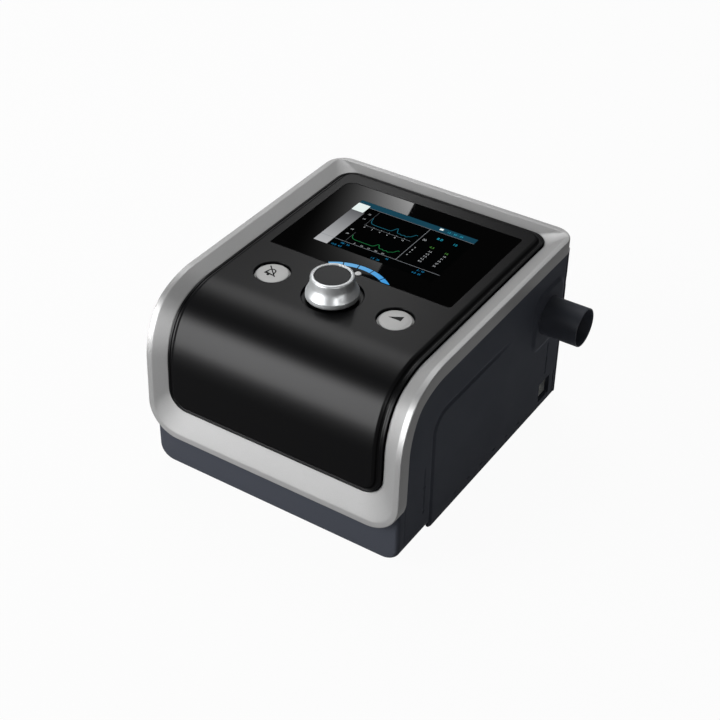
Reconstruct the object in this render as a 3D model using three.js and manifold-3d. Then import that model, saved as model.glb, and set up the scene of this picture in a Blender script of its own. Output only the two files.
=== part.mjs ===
// Bilevel positive airway pressure machine, in millimetres, with +Z up and the front towards -Y.
// A bent sheet carries the front: a silver frame runs round it, and a black cover fills the frame.
// Under it stand two side shells, a front apron, a rear panel and a base tray, with the blower,
// its air path and the circuit boards inside.
import * as THREE from 'three';
import { mergeVertices } from 'three/addons/utils/BufferGeometryUtils.js';
import Module from 'manifold-3d';

const wasm = await Module();
wasm.setup();

// Clearances
const seatGap = 0.3; // between pieces that rest on each other
const slideGap = 0.4; // round a piece that slides
const bearingGap = 0.15; // round a shaft
const cutOverrun = 1; // how far a cut runs past the wall that it opens
const smallestRadius = 0.2; // an inset corner never gets tighter than this

// Bent sheet: the line of the frame's crest, seen from the side
const crestFrontY = -98.15; // where the front line meets the base plane
const crestRearY = 99.8;
const crestRearHeight = 114.6;
const frontLean = 2.3; // degrees that the front leans back
const topSlope = 0.5; // degrees that the top rises to the rear
const lowerBendRadius = 53.3;
const middleBendRadius = 27.8;
const upperBendRadius = 55.8;
const lowerBendTurn = 30; // degrees
const middleBendTurn = 32; // degrees

// Silver frame
const frameWidth = 170;
const frameLowEdge = 22.75; // height of its lower edge
const frameSideFace = 12.2; // width of its face at the sides, at the bottom and at the rear
const frameLowFace = 19.3;
const frameRearFace = 8.7;
const frameLowRadius = 14.5; // corners, outside and inside
const frameRearRadius = 13;
const openingLowRadius = 8.5;
const openingRearRadius = 11.5;
const frameDepth = 8.3; // depth of its side wall
const frameWall = 2;
const frameCrestInset = 4;
const frameEdgeDrop = 1;
const frameEdgeInset = 0.5;
const frameEdgeRise = 0.4;
const frameInnerDrop = 3.9; // how far its inner edge lies below the crest
const frameInnerRound = 0.5;
const frameInnerDepth = 6.5;

// Front cover
const coverGap = 0.5; // to the frame
const coverDrop = 0.75; // its face below the crest
const coverWall = 2.4;
const coverBorder = 6.3; // from its edge to the flat face
const coverEdgeDepth = 6.3;
const beadWidth = 2.3; // the rounded lip along its edge
const beadDrop = 2.5;
const beadRound = 0.6;
const grooveDrop = 3.6;
const grooveStart = 2.9;
const grooveEnd = 3.7;
const shoulderMiddleInset = 4.5;
const shoulderMiddleDrop = 2;
const coverUnderInset = 3;
const coverUnderDrop = 5.9;

// Deck: places on the flat top of the cover, measured from the knob's centre
const knobY = -32.6;
const windowSideRoom = 24; // from the window's sides to the frame's outer edge
const windowHalfWidth = frameWidth / 2 - windowSideRoom;
const buttonSpreadShare = 0.677; // of the window's half width
const buttonSpread = windowHalfWidth * buttonSpreadShare;
const windowFront = 25.1;
const windowRear = 108.9;
const windowRadius = 3;
const windowThickness = 1.2;
const screenHalfWidth = 41;
const screenFront = 39.8;
const screenRear = 91.6;
const screenMargin = 1.5;
const screenFlange = 3;
const screenThickness = 2.6;
const backplateThickness = 0.8;
const arcRadius = 32.4;
const arcWidth = 4.2;
const arcHalfAngle = 38.5; // degrees
const arcDepth = 4;
const lampRadius = 1.9;
const lampPlace = 25.9;
const lampProud = 0.15;
const lampDepth = 4;

// Knob and its encoder
const knobRimRadius = 15.45;
const knobBottomRadius = 14.7;
const knobLowShoulder = 14.96;
const knobMiddleRadius = 14.1;
const knobNeckRadius = 13;
const knobUpperRadius = 12.5;
const knobTopRadius = 12.15;
const knobDrop = 0.2; // how far its lower edge sits below the deck
const knobRimHeight = 0.6;
const knobLowShoulderHeight = 4;
const knobMiddleHeight = 6.7;
const knobNeckHeight = 9.4;
const knobUpperHeight = 11.4;
const knobLipGrooveHeight = 12.4;
const knobLipHeight = 12.9;
const knobLipGrooveDepth = 0.35;
const knobHeight = 14.1;
const knobWall = 1.6;
const knobTopPlate = 1.4;
const knobCapRadius = 10;
const knobCapThickness = 1.2;
const knobCapDrop = 0.8;
const knobHubWall = 2;
const knobEdgeRound = 0.4;
const knobWellRadius = 17.5;
const knobWellDepth = 1.8;
const knobBossRadius = 19;
const knobBossDepth = 3.8;
const knobTravel = 0.8;
const encoderShaftRadius = 3;
const encoderSize = 14;
const encoderHoleRadius = 4.6;

// Buttons and their switches
const buttonRadius = 9.8;
const buttonHoleRadius = 10.9;
const buttonSink = 0.8; // how far its top lies below the deck
const buttonCollarRadius = 10.4;
const buttonCollarDepth = 2;
const buttonFlangeRadius = 12.4;
const buttonFlangeThickness = 1.2;
const buttonCrown = 0.25;
const buttonEdgeRound = 0.5;
const buttonTravel = 0.8;
const buttonStemRadius = 3;
const buttonStemLength = 0.35;
const switchSize = 6.2;
const switchHeight = 2.2;
const switchPlungerRadius = 1.7;
const boardDrop = 8.2; // the control board's top below the deck
const boardThickness = 1.6;
const boardSideInset = 3; // from the window's edge to the board's
const boardHalfWidth = windowHalfWidth - boardSideInset;
const boardFront = -19;
const boardRear = 34.5;
const postRadius = 2.6;
const postInset = 5;

// Housing
const frameOverhang = 1.3; // how far the frame stands out past the housing
const frameFrontOverhang = 5.45;
const frameRearOverhang = 3.3;
const housingHalfWidth = frameWidth / 2 - frameOverhang;
const housingFrontY = crestFrontY + frameFrontOverhang;
const housingRearY = crestRearY - frameRearOverhang;
const housingCornerRadius = 4;
const housingLowRadius = 8;
const shellWall = 2.6;
const shellBevel = 0.9;
const apronReach = 6.4; // how far back the apron's ends run
const shellFrontY = housingFrontY + apronReach;
const shellTopGap = 0.5; // between the frame's side wall and the shells
const apronWall = 3;
const apronSeam = 0.6;
const bulkheadTop = 56;
const rearWall = 3;
const rearCornerRadius = 2.4;
const rearGrooveHeight = 83.3;
const rearGrooveWidth = 6;
const rearGrooveDepth = 2.2;
const rearLowRadius = 3;

// Side panel details
const panelFrontY = -58.6;
const panelTop = 79;
const panelRearY = 14;
const panelRadius = 14;
const panelGrooveWidth = 3.4;
const panelGrooveDepth = 1.2;
const guideWidth = 2;
const guideDepth = 1.3;
const guideDotRadius = 1.5;
const frontGuideY = -66.5;
const frontGuideLow = 18.4;
const frontGuideDot = 35.8;
const frontGuideTop = 51.3;
const rearGuideY = 77.8;
const rearGuideLow = 24.9;
const rearGuideDot = 35.7;
const rearGuideTop = 49;
const latchSpacing = 15.25;
const latchCount = 6;
const latchFirstY = -30.5;
const latchHeight = 6;
const latchLength = 3.4;
const latchRise = 1.6;
const latchDepth = 0.9;
const padRadius = 6;
const padRise = 1.1;
const portFrontY = 71.3;
const portRearY = 84.9;
const portLow = 5;
const portTop = 18.8;
const portDepth = 6.5;
const tagY = 90.4;
const tagWidth = 1.1;
const tagLow = 2.5;
const tagTop = 18.5;

// Air outlet
const outletY = 72;
const outletZ = 71.5;
const padFrontReach = 14.5; // the raised pad round the outlet, from the outlet's axis
const padRearReach = 16;
const padLowReach = 18;
const padTopReach = 17.5;
const outletRadius = 12.1;
const outletBore = 10;
const outletReach = 24.6; // how far it stands out of the shell
const outletEnd = housingHalfWidth + outletReach;
const outletFlangeRadius = 15;
const outletFlangeThickness = 2;
const outletFlangeFar = housingHalfWidth - shellWall - seatGap;
const outletFlangeNear = outletFlangeFar - outletFlangeThickness;
const outletLip = 0.6;

// Air inlet
const inletWidthShare = 0.227; // its half width, as a share of the housing's
const inletHalfWidth = housingHalfWidth * inletWidthShare;
const inletHalfHeight = 22;
const inletZ = 50;
const inletBoxWall = 2;
const inletBoxLength = 52;
const inletBoxMargin = 3;
const inletSideRoom = 6.1; // between its box and the left shell
const inletX = -housingHalfWidth + shellWall + inletSideRoom + inletBoxMargin + inletHalfWidth;
const inletPortRadius = 9;

// Rubber boot between the blower's spout and the outlet pipe
const bootOverlap = 7;
const bootGap = 5; // between the spout's end and the outlet pipe's
const bootRoom = 8.8; // from the boot to the outlet pipe's flange
const bootWall = 2.7;
const outletInner = outletFlangeNear - bootRoom - bootOverlap;
const blowerSpoutEnd = outletInner - bootGap;
const bootLow = blowerSpoutEnd - bootOverlap;

// Blower, whose drum fills the room between the inlet's box and the boot
const blowerRoom = 2.5; // to the inlet's box
const blowerNear = inletX + inletHalfWidth + inletBoxMargin + blowerRoom;
const blowerRadius = (bootLow - seatGap - blowerNear) / 2;
const blowerX = blowerNear + blowerRadius;
const blowerSpoutRadius = 12.6;
const blowerY = outletY - blowerRadius + blowerSpoutRadius;
const blowerRim = 2.9; // from the spout to the drum's ends
const blowerWall = 2;
const blowerFloor = outletZ - blowerSpoutRadius - blowerRim;
const blowerRoof = outletZ + blowerSpoutRadius + blowerRim;
const blowerEyeRadius = 15;
const blowerFootRadius = 5;
const blowerFootInset = 7;
const blowerFootThickness = 3;
const blowerFootAngles = [-90, 30, 150]; // degrees
const impellerSideRoom = 11.5; // to the drum's outside
const impellerLift = 4.5; // above the drum's floor
const impellerRadius = blowerRadius - impellerSideRoom;
const impellerBase = blowerFloor + blowerWall + impellerLift;
const impellerPlate = 1.8;
const impellerBladeHeight = 9;
const impellerBladeThickness = 1.4;
const impellerBladeRoot = 11;
const impellerBlades = 11;
const impellerHubRadius = 6;
const bladeSweepShare = 0.55; // of the blade's root, which sets its sideways lean
const motorRadius = 19;
const motorHeight = 26;
const motorShaftRadius = 2;
const motorShaftProud = 0.7; // above the blades
const boltHoleRadius = 1.6;
const isolatorRadius = 5;
const isolatorThickness = 5;

// Filter and its cover
const filterThickness = 8;
const filterCoverThickness = 3;
const filterCoverRim = 4;
const filterCoverRadius = 5;
const grilleSlots = 7;
const grilleSlotShare = 0.45; // of the pitch between two slots
const hingeRadius = 1;
const hingeLugWall = 0.8;
const hingeLugWidth = 5;
const hingePlaceShare = 0.62; // of the cover's half width
const coverHingeDrop = 5.5;
const coverStandOff = 1.35;

// Base tray, feet and screws
const trayFloor = 3;
const trayWallHeight = 9;
const trayWall = 2;
const footInset = 19.7; // from the housing's side to the foot's middle
const footX = housingHalfWidth - footInset;
const footFrontY = -74;
const footRearY = 78;
const footRadius = 8;
const footHeight = 3;
const footRecess = 1;
const footTopRadius = 7.2;
const screwInset = 8.3; // from the housing's side to the screw's middle
const screwX = housingHalfWidth - screwInset;
const screwFrontY = -60;
const screwRearY = 60;
const screwShankRadius = 1.6;
const screwHeadRadius = 3.2;
const screwHeadHeight = 1.8;
const screwLength = 13;
const screwBossRadius = 4.4;
const screwBossRoom = 1; // under the inlet's box
const screwBossTop = inletZ - inletHalfHeight - inletBoxMargin - screwBossRoom;
const screwRecess = 2.1;
const slotWidth = 0.9;
const slotDepth = 0.7;

// Main board and what it carries
const mainBoardRoom = 5; // to the screws' posts
const mainBoardHalfWidth = screwX - screwBossRadius - mainBoardRoom;
const mainBoardFrontRoom = 14.7;
const mainBoardFront = housingFrontY + mainBoardFrontRoom;
const mainBoardRear = -6;
const mainBoardHeight = 14;
const standoffRadius = 3.2;
const standoffInset = 6;
const heatSinkX = -34;
const heatSinkY = -44;
const heatSinkWidth = 40;
const heatSinkDepth = 26;
const heatSinkBase = 3;
const heatSinkHeight = 16;
const heatSinkFins = 8;
const finShare = 0.4; // of the pitch between two fins
const capacitorRadius = 6;
const capacitorHeight = 18;
const capacitorPlaces = [[14, -62], [30, -62]];
const sensorX = 24;
const sensorY = -30;
const sensorWidth = 22;
const sensorDepth = 16;
const sensorHeight = 10;
const sensorPortRadius = 2;
const sensorPortHeight = 7;
const sensorPortSpacing = 10;

// Sockets
const powerX = 46;
const powerZ = 22;
const powerSize = 13;
const powerHollow = 9.4;
const powerDepth = 14;
const powerHollowDepth = 10;
const powerPinRadius = 0.7;
const powerPinHeight = 4;
const powerPinSpacing = 4.4;
const powerFlange = 2;
const plugX = 14;
const plugWidth = 16;
const plugHeight = 9;
const plugDepth = 5;
const plugRim = 1.6;
const plugCrown = 0.8;
const linkSocketDepth = 8;
const bladeCount = 4;
const bladeThickness = 0.8;
const bladeHeightShare = 0.5; // of the port's height
const cardY = -20;
const cardZ = 40;
const cardWidth = 24;
const cardLength = 32;
const cardThickness = 2.1;
const cardProud = 1.2;
const cardNotch = 3;
const cardSocketWall = 1.5;
const cardSocketLength = 26;

// How finely round shapes are drawn
const cornerSteps = 5;
const bendSteps = 12;
const fineSteps = 40;
const roundSteps = 24;
const coarseSteps = 14;
const mergeDistance = 0.0001;

// Colours and finishes
const looks = {
  silver: { color: 0xb9babb, roughness: 0.38, metalness: 0.75 },
  black: { color: 0x151516, roughness: 0.42, metalness: 0 },
  gloss: { color: 0x050505, roughness: 0.06, metalness: 0 },
  housing: { color: 0x2c3036, roughness: 0.55, metalness: 0 },
  cap: { color: 0x3a3b3d, roughness: 0.5, metalness: 0 },
  button: { color: 0xc9cacb, roughness: 0.4, metalness: 0.3 },
  light: { color: 0x3fa9f5, roughness: 0.3, metalness: 0 },
  lamp: { color: 0xf4f4f4, roughness: 0.3, metalness: 0 },
  screen: { color: 0x0a1418, roughness: 0.2, metalness: 0 },
  rubber: { color: 0x1b1b1c, roughness: 0.85, metalness: 0 },
  steel: { color: 0xa9acb0, roughness: 0.35, metalness: 1 },
  board: { color: 0x1d5a38, roughness: 0.6, metalness: 0 },
  pale: { color: 0xc4c6c4, roughness: 0.5, metalness: 0 },
  foam: { color: 0x4a4b4d, roughness: 1, metalness: 0 },
  ivory: { color: 0xd8d6cd, roughness: 0.55, metalness: 0 },
};

// Solids

// A closed mesh as a solid: shared corners merged, empty faces dropped and the rest turned outwards
function solid(geometry) {
  const bare = geometry.clone();
  bare.deleteAttribute('normal');
  bare.deleteAttribute('uv');
  const merged = mergeVertices(bare, mergeDistance);
  const faces = [];
  for (let i = 0; i < merged.index.count; i += 3) {
    const [a, b, c] = [merged.index.getX(i), merged.index.getX(i + 1), merged.index.getX(i + 2)];
    if (a !== b && b !== c && c !== a) faces.push([a, b, c]);
  }
  const vertProperties = new Float32Array(merged.attributes.position.array);
  const build = (list) => new wasm.Manifold(new wasm.Mesh({
    numProp: 3,
    vertProperties,
    triVerts: new Uint32Array(list.flat()),
  }));
  const made = build(faces);
  return made.volume() < 0 ? build(faces.map(([a, b, c]) => [a, c, b])) : made;
}

function geometryOf(shape) {
  const mesh = shape.getMesh();
  const geometry = new THREE.BufferGeometry();
  geometry.setAttribute('position', new THREE.BufferAttribute(new Float32Array(mesh.vertProperties), 3));
  geometry.setIndex(new THREE.BufferAttribute(new Uint32Array(mesh.triVerts), 1));
  geometry.computeVertexNormals();
  return geometry;
}

const joined = (...shapes) => shapes.reduce((all, next) => all.add(next));
const cutBy = (shape, ...tools) => tools.reduce((left, tool) => left.subtract(tool), shape);

// A box between two corners
function block([x0, y0, z0], [x1, y1, z1]) {
  const geometry = new THREE.BoxGeometry(x1 - x0, y1 - y0, z1 - z0);
  geometry.translate((x0 + x1) / 2, (y0 + y1) / 2, (z0 + z1) / 2);
  return solid(geometry);
}

// Turns a shape drawn round Z so that its Z lies along another axis
function along(axis, geometry) {
  if (axis === 'x') geometry.rotateY(Math.PI / 2);
  if (axis === 'y') geometry.rotateX(-Math.PI / 2);
  return geometry;
}

// A profile of radius and height pairs, turned round Z
function turnedGeometry(profile, steps = roundSteps) {
  const points = profile.map(([radius, height]) => new THREE.Vector2(radius, height));
  return new THREE.LatheGeometry(points, steps).rotateX(Math.PI / 2);
}

const turned = (profile, steps, place = [0, 0, 0], axis = 'z') =>
  solid(along(axis, turnedGeometry(profile, steps)).translate(...place));

function rod(radius, low, high, place = [0, 0, 0], axis = 'z', steps = roundSteps) {
  return turned([[0, low], [radius, low], [radius, high], [0, high]], steps, place, axis);
}

function tube(outer, inner, low, high, place, axis = 'z', steps = roundSteps) {
  const profile = [[inner, low], [outer, low], [outer, high], [inner, high], [inner, low]];
  return turned(profile, steps, place, axis);
}

function roundedShape(x0, y0, x1, y1, radius) {
  const shape = new THREE.Shape();
  shape.moveTo(x0 + radius, y0);
  shape.absarc(x1 - radius, y0 + radius, radius, -Math.PI / 2, 0);
  shape.absarc(x1 - radius, y1 - radius, radius, 0, Math.PI / 2);
  shape.absarc(x0 + radius, y1 - radius, radius, Math.PI / 2, Math.PI);
  shape.absarc(x0 + radius, y0 + radius, radius, Math.PI, Math.PI * 1.5);
  return shape;
}

// A shape drawn in X and Y, given a thickness from one height to another
function plate(shape, low, high, bevel = 0) {
  const geometry = new THREE.ExtrudeGeometry(shape, {
    depth: high - low - 2 * bevel,
    curveSegments: cornerSteps,
    bevelEnabled: bevel > 0,
    bevelSize: bevel,
    bevelOffset: -bevel,
    bevelThickness: bevel,
    bevelSegments: 1,
  });
  return geometry.translate(0, 0, low + bevel);
}

// The same, drawn in Y and Z and thick along X, or drawn in X and Z and thick along Y
const standX = new THREE.Matrix4().makeBasis(
  new THREE.Vector3(0, 1, 0), new THREE.Vector3(0, 0, 1), new THREE.Vector3(1, 0, 0));
const standY = new THREE.Matrix4().makeBasis(
  new THREE.Vector3(1, 0, 0), new THREE.Vector3(0, 0, 1), new THREE.Vector3(0, -1, 0));
const plateX = (shape, low, high, bevel) => solid(plate(shape, low, high, bevel).applyMatrix4(standX));
const plateY = (shape, near, far) => solid(plate(shape, -far, -near).applyMatrix4(standY));

// The bent sheet

const degree = Math.PI / 180;
const rightAngle = 90;
const bendHeadings = [
  rightAngle - frontLean,
  rightAngle - frontLean - lowerBendTurn,
  rightAngle - frontLean - lowerBendTurn - middleBendTurn,
  topSlope,
].map((angle) => angle * degree);
const bendRadii = [lowerBendRadius, middleBendRadius, upperBendRadius];
const bendLengths = bendRadii.map((radius, i) => radius * (bendHeadings[i] - bendHeadings[i + 1]));

// How far a bend carries the crest line in Y and in Z
function bendReach(i, share = 1) {
  const start = bendHeadings[i];
  const end = start + (bendHeadings[i + 1] - start) * share;
  return [
    bendRadii[i] * (Math.sin(start) - Math.sin(end)),
    bendRadii[i] * (Math.cos(end) - Math.cos(start)),
  ];
}

// The straight front is as long as it must be for the last bend to end on the line of the top
const slopeRise = Math.tan(topSlope * degree);
const bendsY = bendRadii.reduce((sum, _, i) => sum + bendReach(i)[0], 0);
const bendsZ = bendRadii.reduce((sum, _, i) => sum + bendReach(i)[1], 0);
const topHeightAtFront = crestRearHeight - (crestRearY - crestFrontY - bendsY) * slopeRise;
const frontLength = (topHeightAtFront - bendsZ)
  / (Math.cos(frontLean * degree) - Math.sin(frontLean * degree) * slopeRise);
const bendEnd = frontLength + bendLengths.reduce((sum, length) => sum + length, 0);

// The crest line's point and heading at a distance from its foot
function crestAt(distance) {
  let y = crestFrontY;
  let z = 0;
  let left = distance;
  const go = (length, heading) => {
    y += length * Math.cos(heading);
    z += length * Math.sin(heading);
  };
  if (left <= frontLength) {
    go(left, bendHeadings[0]);
    return { y, z, heading: bendHeadings[0] };
  }
  go(frontLength, bendHeadings[0]);
  left -= frontLength;
  for (let i = 0; i < bendRadii.length; i += 1) {
    const share = Math.min(left / bendLengths[i], 1);
    const [dy, dz] = bendReach(i, share);
    y += dy;
    z += dz;
    if (left <= bendLengths[i]) {
      return { y, z, heading: bendHeadings[i] - left / bendRadii[i] };
    }
    left -= bendLengths[i];
  }
  go(left, bendHeadings[3]);
  return { y, z, heading: bendHeadings[3] };
}

// A point of the sheet: across, along, and out from the crest line
function sheetPoint(across, distance, rise) {
  const { y, z, heading } = crestAt(distance);
  return new THREE.Vector3(across, y - Math.sin(heading) * rise, z + Math.cos(heading) * rise);
}

const frameLow = frameLowEdge / Math.cos(frontLean * degree);
const crestBendEnd = crestAt(bendEnd);
const frameRear = bendEnd + (crestRearY - crestBendEnd.y) / Math.cos(topSlope * degree);
const bendStations = Array.from({ length: bendSteps + 1 },
  (_, i) => frontLength + (bendEnd - frontLength) * (i / bendSteps));

// A loop round a rounded rectangle on the sheet: its right half from the lower edge to the rear one,
// then the mirrored left half back again
function sheetLoop({ half, low, rear, lowRadius, rearRadius }, inset, rise) {
  const edge = half - inset;
  const rl = Math.max(lowRadius - inset, smallestRadius);
  const rr = Math.max(rearRadius - inset, smallestRadius);
  const quarter = (i) => (Math.PI / 2) * (i / cornerSteps);
  const right = [];
  for (let i = 0; i <= cornerSteps; i += 1) {
    const angle = quarter(i) - Math.PI / 2;
    right.push([edge - rl + rl * Math.cos(angle), low + inset + rl + rl * Math.sin(angle)]);
  }
  for (const station of bendStations) right.push([edge, station]);
  for (let i = 0; i <= cornerSteps; i += 1) {
    const angle = quarter(i);
    right.push([edge - rr + rr * Math.cos(angle), rear - inset - rr + rr * Math.sin(angle)]);
  }
  const left = right.map(([across, distance]) => [-across, distance]).reverse();
  return [...right, ...left].map(([across, distance]) => sheetPoint(across, distance, rise));
}

// Joins loops of equal length into one closed surface. The last loop meets the first, or rungs
// between its two halves close each end.
function loopSolid(loops, meets) {
  const count = loops[0].length;
  const half = count / 2;
  const index = [];
  const quad = (a, b, c, d) => index.push(a, b, c, a, c, d);
  const last = meets ? loops.length : loops.length - 1;
  for (let k = 0; k < last; k += 1) {
    const [near, far] = [k * count, ((k + 1) % loops.length) * count];
    for (let i = 0; i < count; i += 1) {
      const j = (i + 1) % count;
      quad(near + i, near + j, far + j, far + i);
    }
  }
  if (!meets) {
    const top = (loops.length - 1) * count;
    for (let i = 0; i < half - 1; i += 1) {
      const mirror = count - 1 - i;
      quad(top + i, top + i + 1, top + mirror - 1, top + mirror);
      quad(mirror, mirror - 1, i + 1, i);
    }
  }
  const geometry = new THREE.BufferGeometry().setFromPoints(loops.flat());
  geometry.setIndex(index);
  return solid(geometry);
}

// The line of the sheet in Y and Z, lowered by a depth, from one distance to another
function sideLine(from, to, depth) {
  const stops = [from, ...bendStations.filter((s) => s > from && s < to), to];
  return stops.map((distance) => {
    const point = sheetPoint(0, distance, -depth);
    return new THREE.Vector2(point.y, point.z);
  });
}

// Deck frame: its origin is the knob's centre on the cover's face, and its Z stands off the face
const deckDrop = coverDrop / Math.cos(topSlope * degree);
const deckHeight = crestRearHeight - (crestRearY - knobY) * slopeRise - deckDrop;
const deckMatrix = new THREE.Matrix4()
  .makeTranslation(0, knobY, deckHeight)
  .multiply(new THREE.Matrix4().makeRotationX(topSlope * degree));
const onDeck = (shape) => solid(geometryOf(shape).applyMatrix4(deckMatrix));

// Frame and cover

const frameOutline = {
  half: frameWidth / 2,
  low: frameLow,
  rear: frameRear,
  lowRadius: frameLowRadius,
  rearRadius: frameRearRadius,
};
const openingOutline = {
  half: frameWidth / 2 - frameSideFace,
  low: frameLow + frameLowFace,
  rear: frameRear - frameRearFace,
  lowRadius: openingLowRadius,
  rearRadius: openingRearRadius,
};
const coverOutline = {
  half: openingOutline.half - coverGap,
  low: openingOutline.low + coverGap,
  rear: openingOutline.rear - coverGap,
  lowRadius: openingOutline.lowRadius - coverGap,
  rearRadius: openingOutline.rearRadius - coverGap,
};

// A channel section carried round the sheet: a side wall, a chamfer up to the crest and a face
// that slopes down to the opening
function silverFrame() {
  const section = [
    [frameOutline, 0, -frameDepth],
    [frameOutline, 0, -frameEdgeDrop],
    [frameOutline, frameEdgeInset, -frameEdgeRise],
    [frameOutline, frameCrestInset, 0],
    [openingOutline, -frameInnerRound, -frameInnerDrop + frameInnerRound],
    [openingOutline, 0, -frameInnerDrop],
    [openingOutline, 0, -frameInnerDepth],
    [openingOutline, -frameWall, -frameInnerDepth],
    [openingOutline, -frameWall, -frameInnerDrop - frameWall / 2],
    [frameOutline, frameCrestInset, -frameWall],
    [frameOutline, frameWall, -frameWall - frameEdgeDrop / 2],
    [frameOutline, frameWall, -frameDepth],
  ];
  return loopSolid(section.map((place) => sheetLoop(...place)), true);
}

function bandShape(radius, width, halfAngle) {
  const shape = new THREE.Shape();
  const low = Math.PI / 2 - halfAngle * degree;
  const high = Math.PI / 2 + halfAngle * degree;
  const end = (angle) => [radius * Math.cos(angle), radius * Math.sin(angle)];
  shape.absarc(0, 0, radius + width / 2, low, high);
  shape.absarc(...end(high), width / 2, high, high + Math.PI);
  shape.absarc(0, 0, radius - width / 2, high, low, true);
  shape.absarc(...end(low), width / 2, low + Math.PI, low + 2 * Math.PI);
  return shape;
}

// The window's outline with the arc's disc taken out of its front edge
function windowSolid(grow, low, high) {
  const outline = roundedShape(-windowHalfWidth - grow, windowFront - grow, windowHalfWidth + grow,
    windowRear + grow, windowRadius + grow);
  const disc = rod(arcRadius + arcWidth / 2 + seatGap - grow, low - cutOverrun, high + cutOverrun,
    [0, 0, 0], 'z', fineSteps);
  return cutBy(solid(plate(outline, low, high)), disc);
}

// A shell with a rounded lip and a groove along its edge, and seats for what the deck carries
function frontCover() {
  const section = [
    [coverOutline, coverBorder, -coverDrop - coverWall],
    [coverOutline, coverUnderInset, -coverUnderDrop],
    [coverOutline, coverUnderInset / 2, -coverEdgeDepth],
    [coverOutline, 0, -coverEdgeDepth],
    [coverOutline, 0, -beadDrop - beadRound],
    [coverOutline, beadRound, -beadDrop],
    [coverOutline, beadWidth, -beadDrop - beadRound / 2],
    [coverOutline, grooveStart, -grooveDrop],
    [coverOutline, grooveEnd, -grooveDrop],
    [coverOutline, shoulderMiddleInset, -shoulderMiddleDrop],
    [coverOutline, coverBorder, -coverDrop],
  ];
  const shell = loopSolid(section.map((place) => sheetLoop(...place)), false);
  const postLow = -boardDrop + seatGap;
  const posts = [boardFront + postInset, boardRear - postInset].flatMap((y) => [-1, 1].map((side) =>
    rod(postRadius, postLow, -coverWall / 2, [side * (boardHalfWidth - postInset), y, 0], 'z', coarseSteps)));
  const boss = rod(knobBossRadius, -knobBossDepth, -coverWall / 2);
  const floor = -coverWall - cutOverrun;
  const cuts = [
    windowSolid(seatGap, -windowThickness - seatGap, cutOverrun),
    block([-screenHalfWidth - screenMargin - seatGap, screenFront - screenMargin - seatGap, floor],
      [screenHalfWidth + screenMargin + seatGap, screenRear + screenMargin + seatGap, cutOverrun]),
    solid(plate(bandShape(arcRadius, arcWidth + 2 * seatGap, arcHalfAngle), floor, cutOverrun)),
    rod(lampRadius + seatGap, floor, cutOverrun, [0, lampPlace, 0], 'z', coarseSteps),
    rod(knobWellRadius, -knobWellDepth, cutOverrun, [0, 0, 0], 'z', fineSteps),
    rod(encoderHoleRadius, -knobBossDepth - cutOverrun, cutOverrun),
    ...[-1, 1].map((side) =>
      rod(buttonHoleRadius, floor, cutOverrun, [side * buttonSpread, 0, 0], 'z', fineSteps)),
  ];
  return cutBy(joined(shell, ...[...posts, boss].map(onDeck)), ...cuts.map(onDeck));
}

// What the deck carries, drawn in the deck's frame

function screenPanel() {
  const top = -windowThickness - 2 * seatGap;
  const seat = -coverWall - seatGap;
  const margin = screenMargin - seatGap;
  const flange = screenMargin + screenFlange;
  return joined(
    block([-screenHalfWidth - margin, screenFront - margin, seat - screenThickness / 2],
      [screenHalfWidth + margin, screenRear + margin, top]),
    block([-screenHalfWidth - flange, screenFront - flange, seat - screenThickness],
      [screenHalfWidth + flange, screenRear + flange, seat]));
}

function screenBackplate() {
  const top = -coverWall - 2 * seatGap - screenThickness;
  const flange = screenMargin + screenFlange;
  const outline = roundedShape(-screenHalfWidth - flange, screenFront - flange,
    screenHalfWidth + flange, screenRear + flange, screenFlange);
  return solid(plate(outline, top - backplateThickness, top));
}

// A bell with a lip at its top, hollow below, with a hub for the encoder's shaft
function knobShell() {
  const lipGroove = knobTopRadius - knobLipGrooveDepth;
  const plateTop = knobHeight - knobCapDrop - knobCapThickness - seatGap;
  const plateLow = plateTop - knobTopPlate;
  const hubBore = encoderShaftRadius + bearingGap;
  const hubRadius = hubBore + knobHubWall;
  return turned([
    [0, plateLow],
    [hubBore, plateLow],
    [hubBore, knobRimHeight],
    [hubRadius, knobRimHeight],
    [hubRadius, plateLow],
    [knobUpperRadius - knobWall, plateLow],
    [knobNeckRadius - knobWall, knobNeckHeight],
    [knobLowShoulder - knobWall, knobLowShoulderHeight],
    [knobBottomRadius - knobWall / 2, -knobDrop],
    [knobBottomRadius, -knobDrop],
    [knobRimRadius, knobRimHeight],
    [knobLowShoulder, knobLowShoulderHeight],
    [knobMiddleRadius, knobMiddleHeight],
    [knobNeckRadius, knobNeckHeight],
    [knobUpperRadius, knobUpperHeight],
    [lipGroove, knobLipGrooveHeight],
    [knobTopRadius, knobLipHeight],
    [knobTopRadius, knobHeight - knobEdgeRound],
    [knobTopRadius - knobEdgeRound, knobHeight],
    [knobCapRadius + seatGap, knobHeight],
    [knobCapRadius + seatGap, plateTop],
    [0, plateTop],
  ], fineSteps);
}

function knobCap() {
  const top = knobHeight - knobCapDrop;
  const low = top - knobCapThickness;
  return turned([
    [0, low],
    [knobCapRadius, low],
    [knobCapRadius, top - knobEdgeRound],
    [knobCapRadius - knobEdgeRound, top],
    [0, top],
  ], fineSteps);
}

const encoderTop = -knobBossDepth - seatGap;
const encoderFloor = -boardDrop + seatGap;
const encoderShaftLow = encoderFloor + seatGap + knobTravel + knobEdgeRound;

function encoderShaft() {
  const top = knobHeight - knobCapDrop - knobCapThickness - knobTopPlate - 2 * seatGap;
  return rod(encoderShaftRadius, encoderShaftLow, top);
}

function encoderBody() {
  const half = encoderSize / 2;
  const bore = encoderShaftRadius + bearingGap;
  return cutBy(block([-half, -half, encoderFloor], [half, half, encoderTop]),
    rod(bore, encoderFloor + knobEdgeRound, encoderTop + cutOverrun));
}

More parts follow.
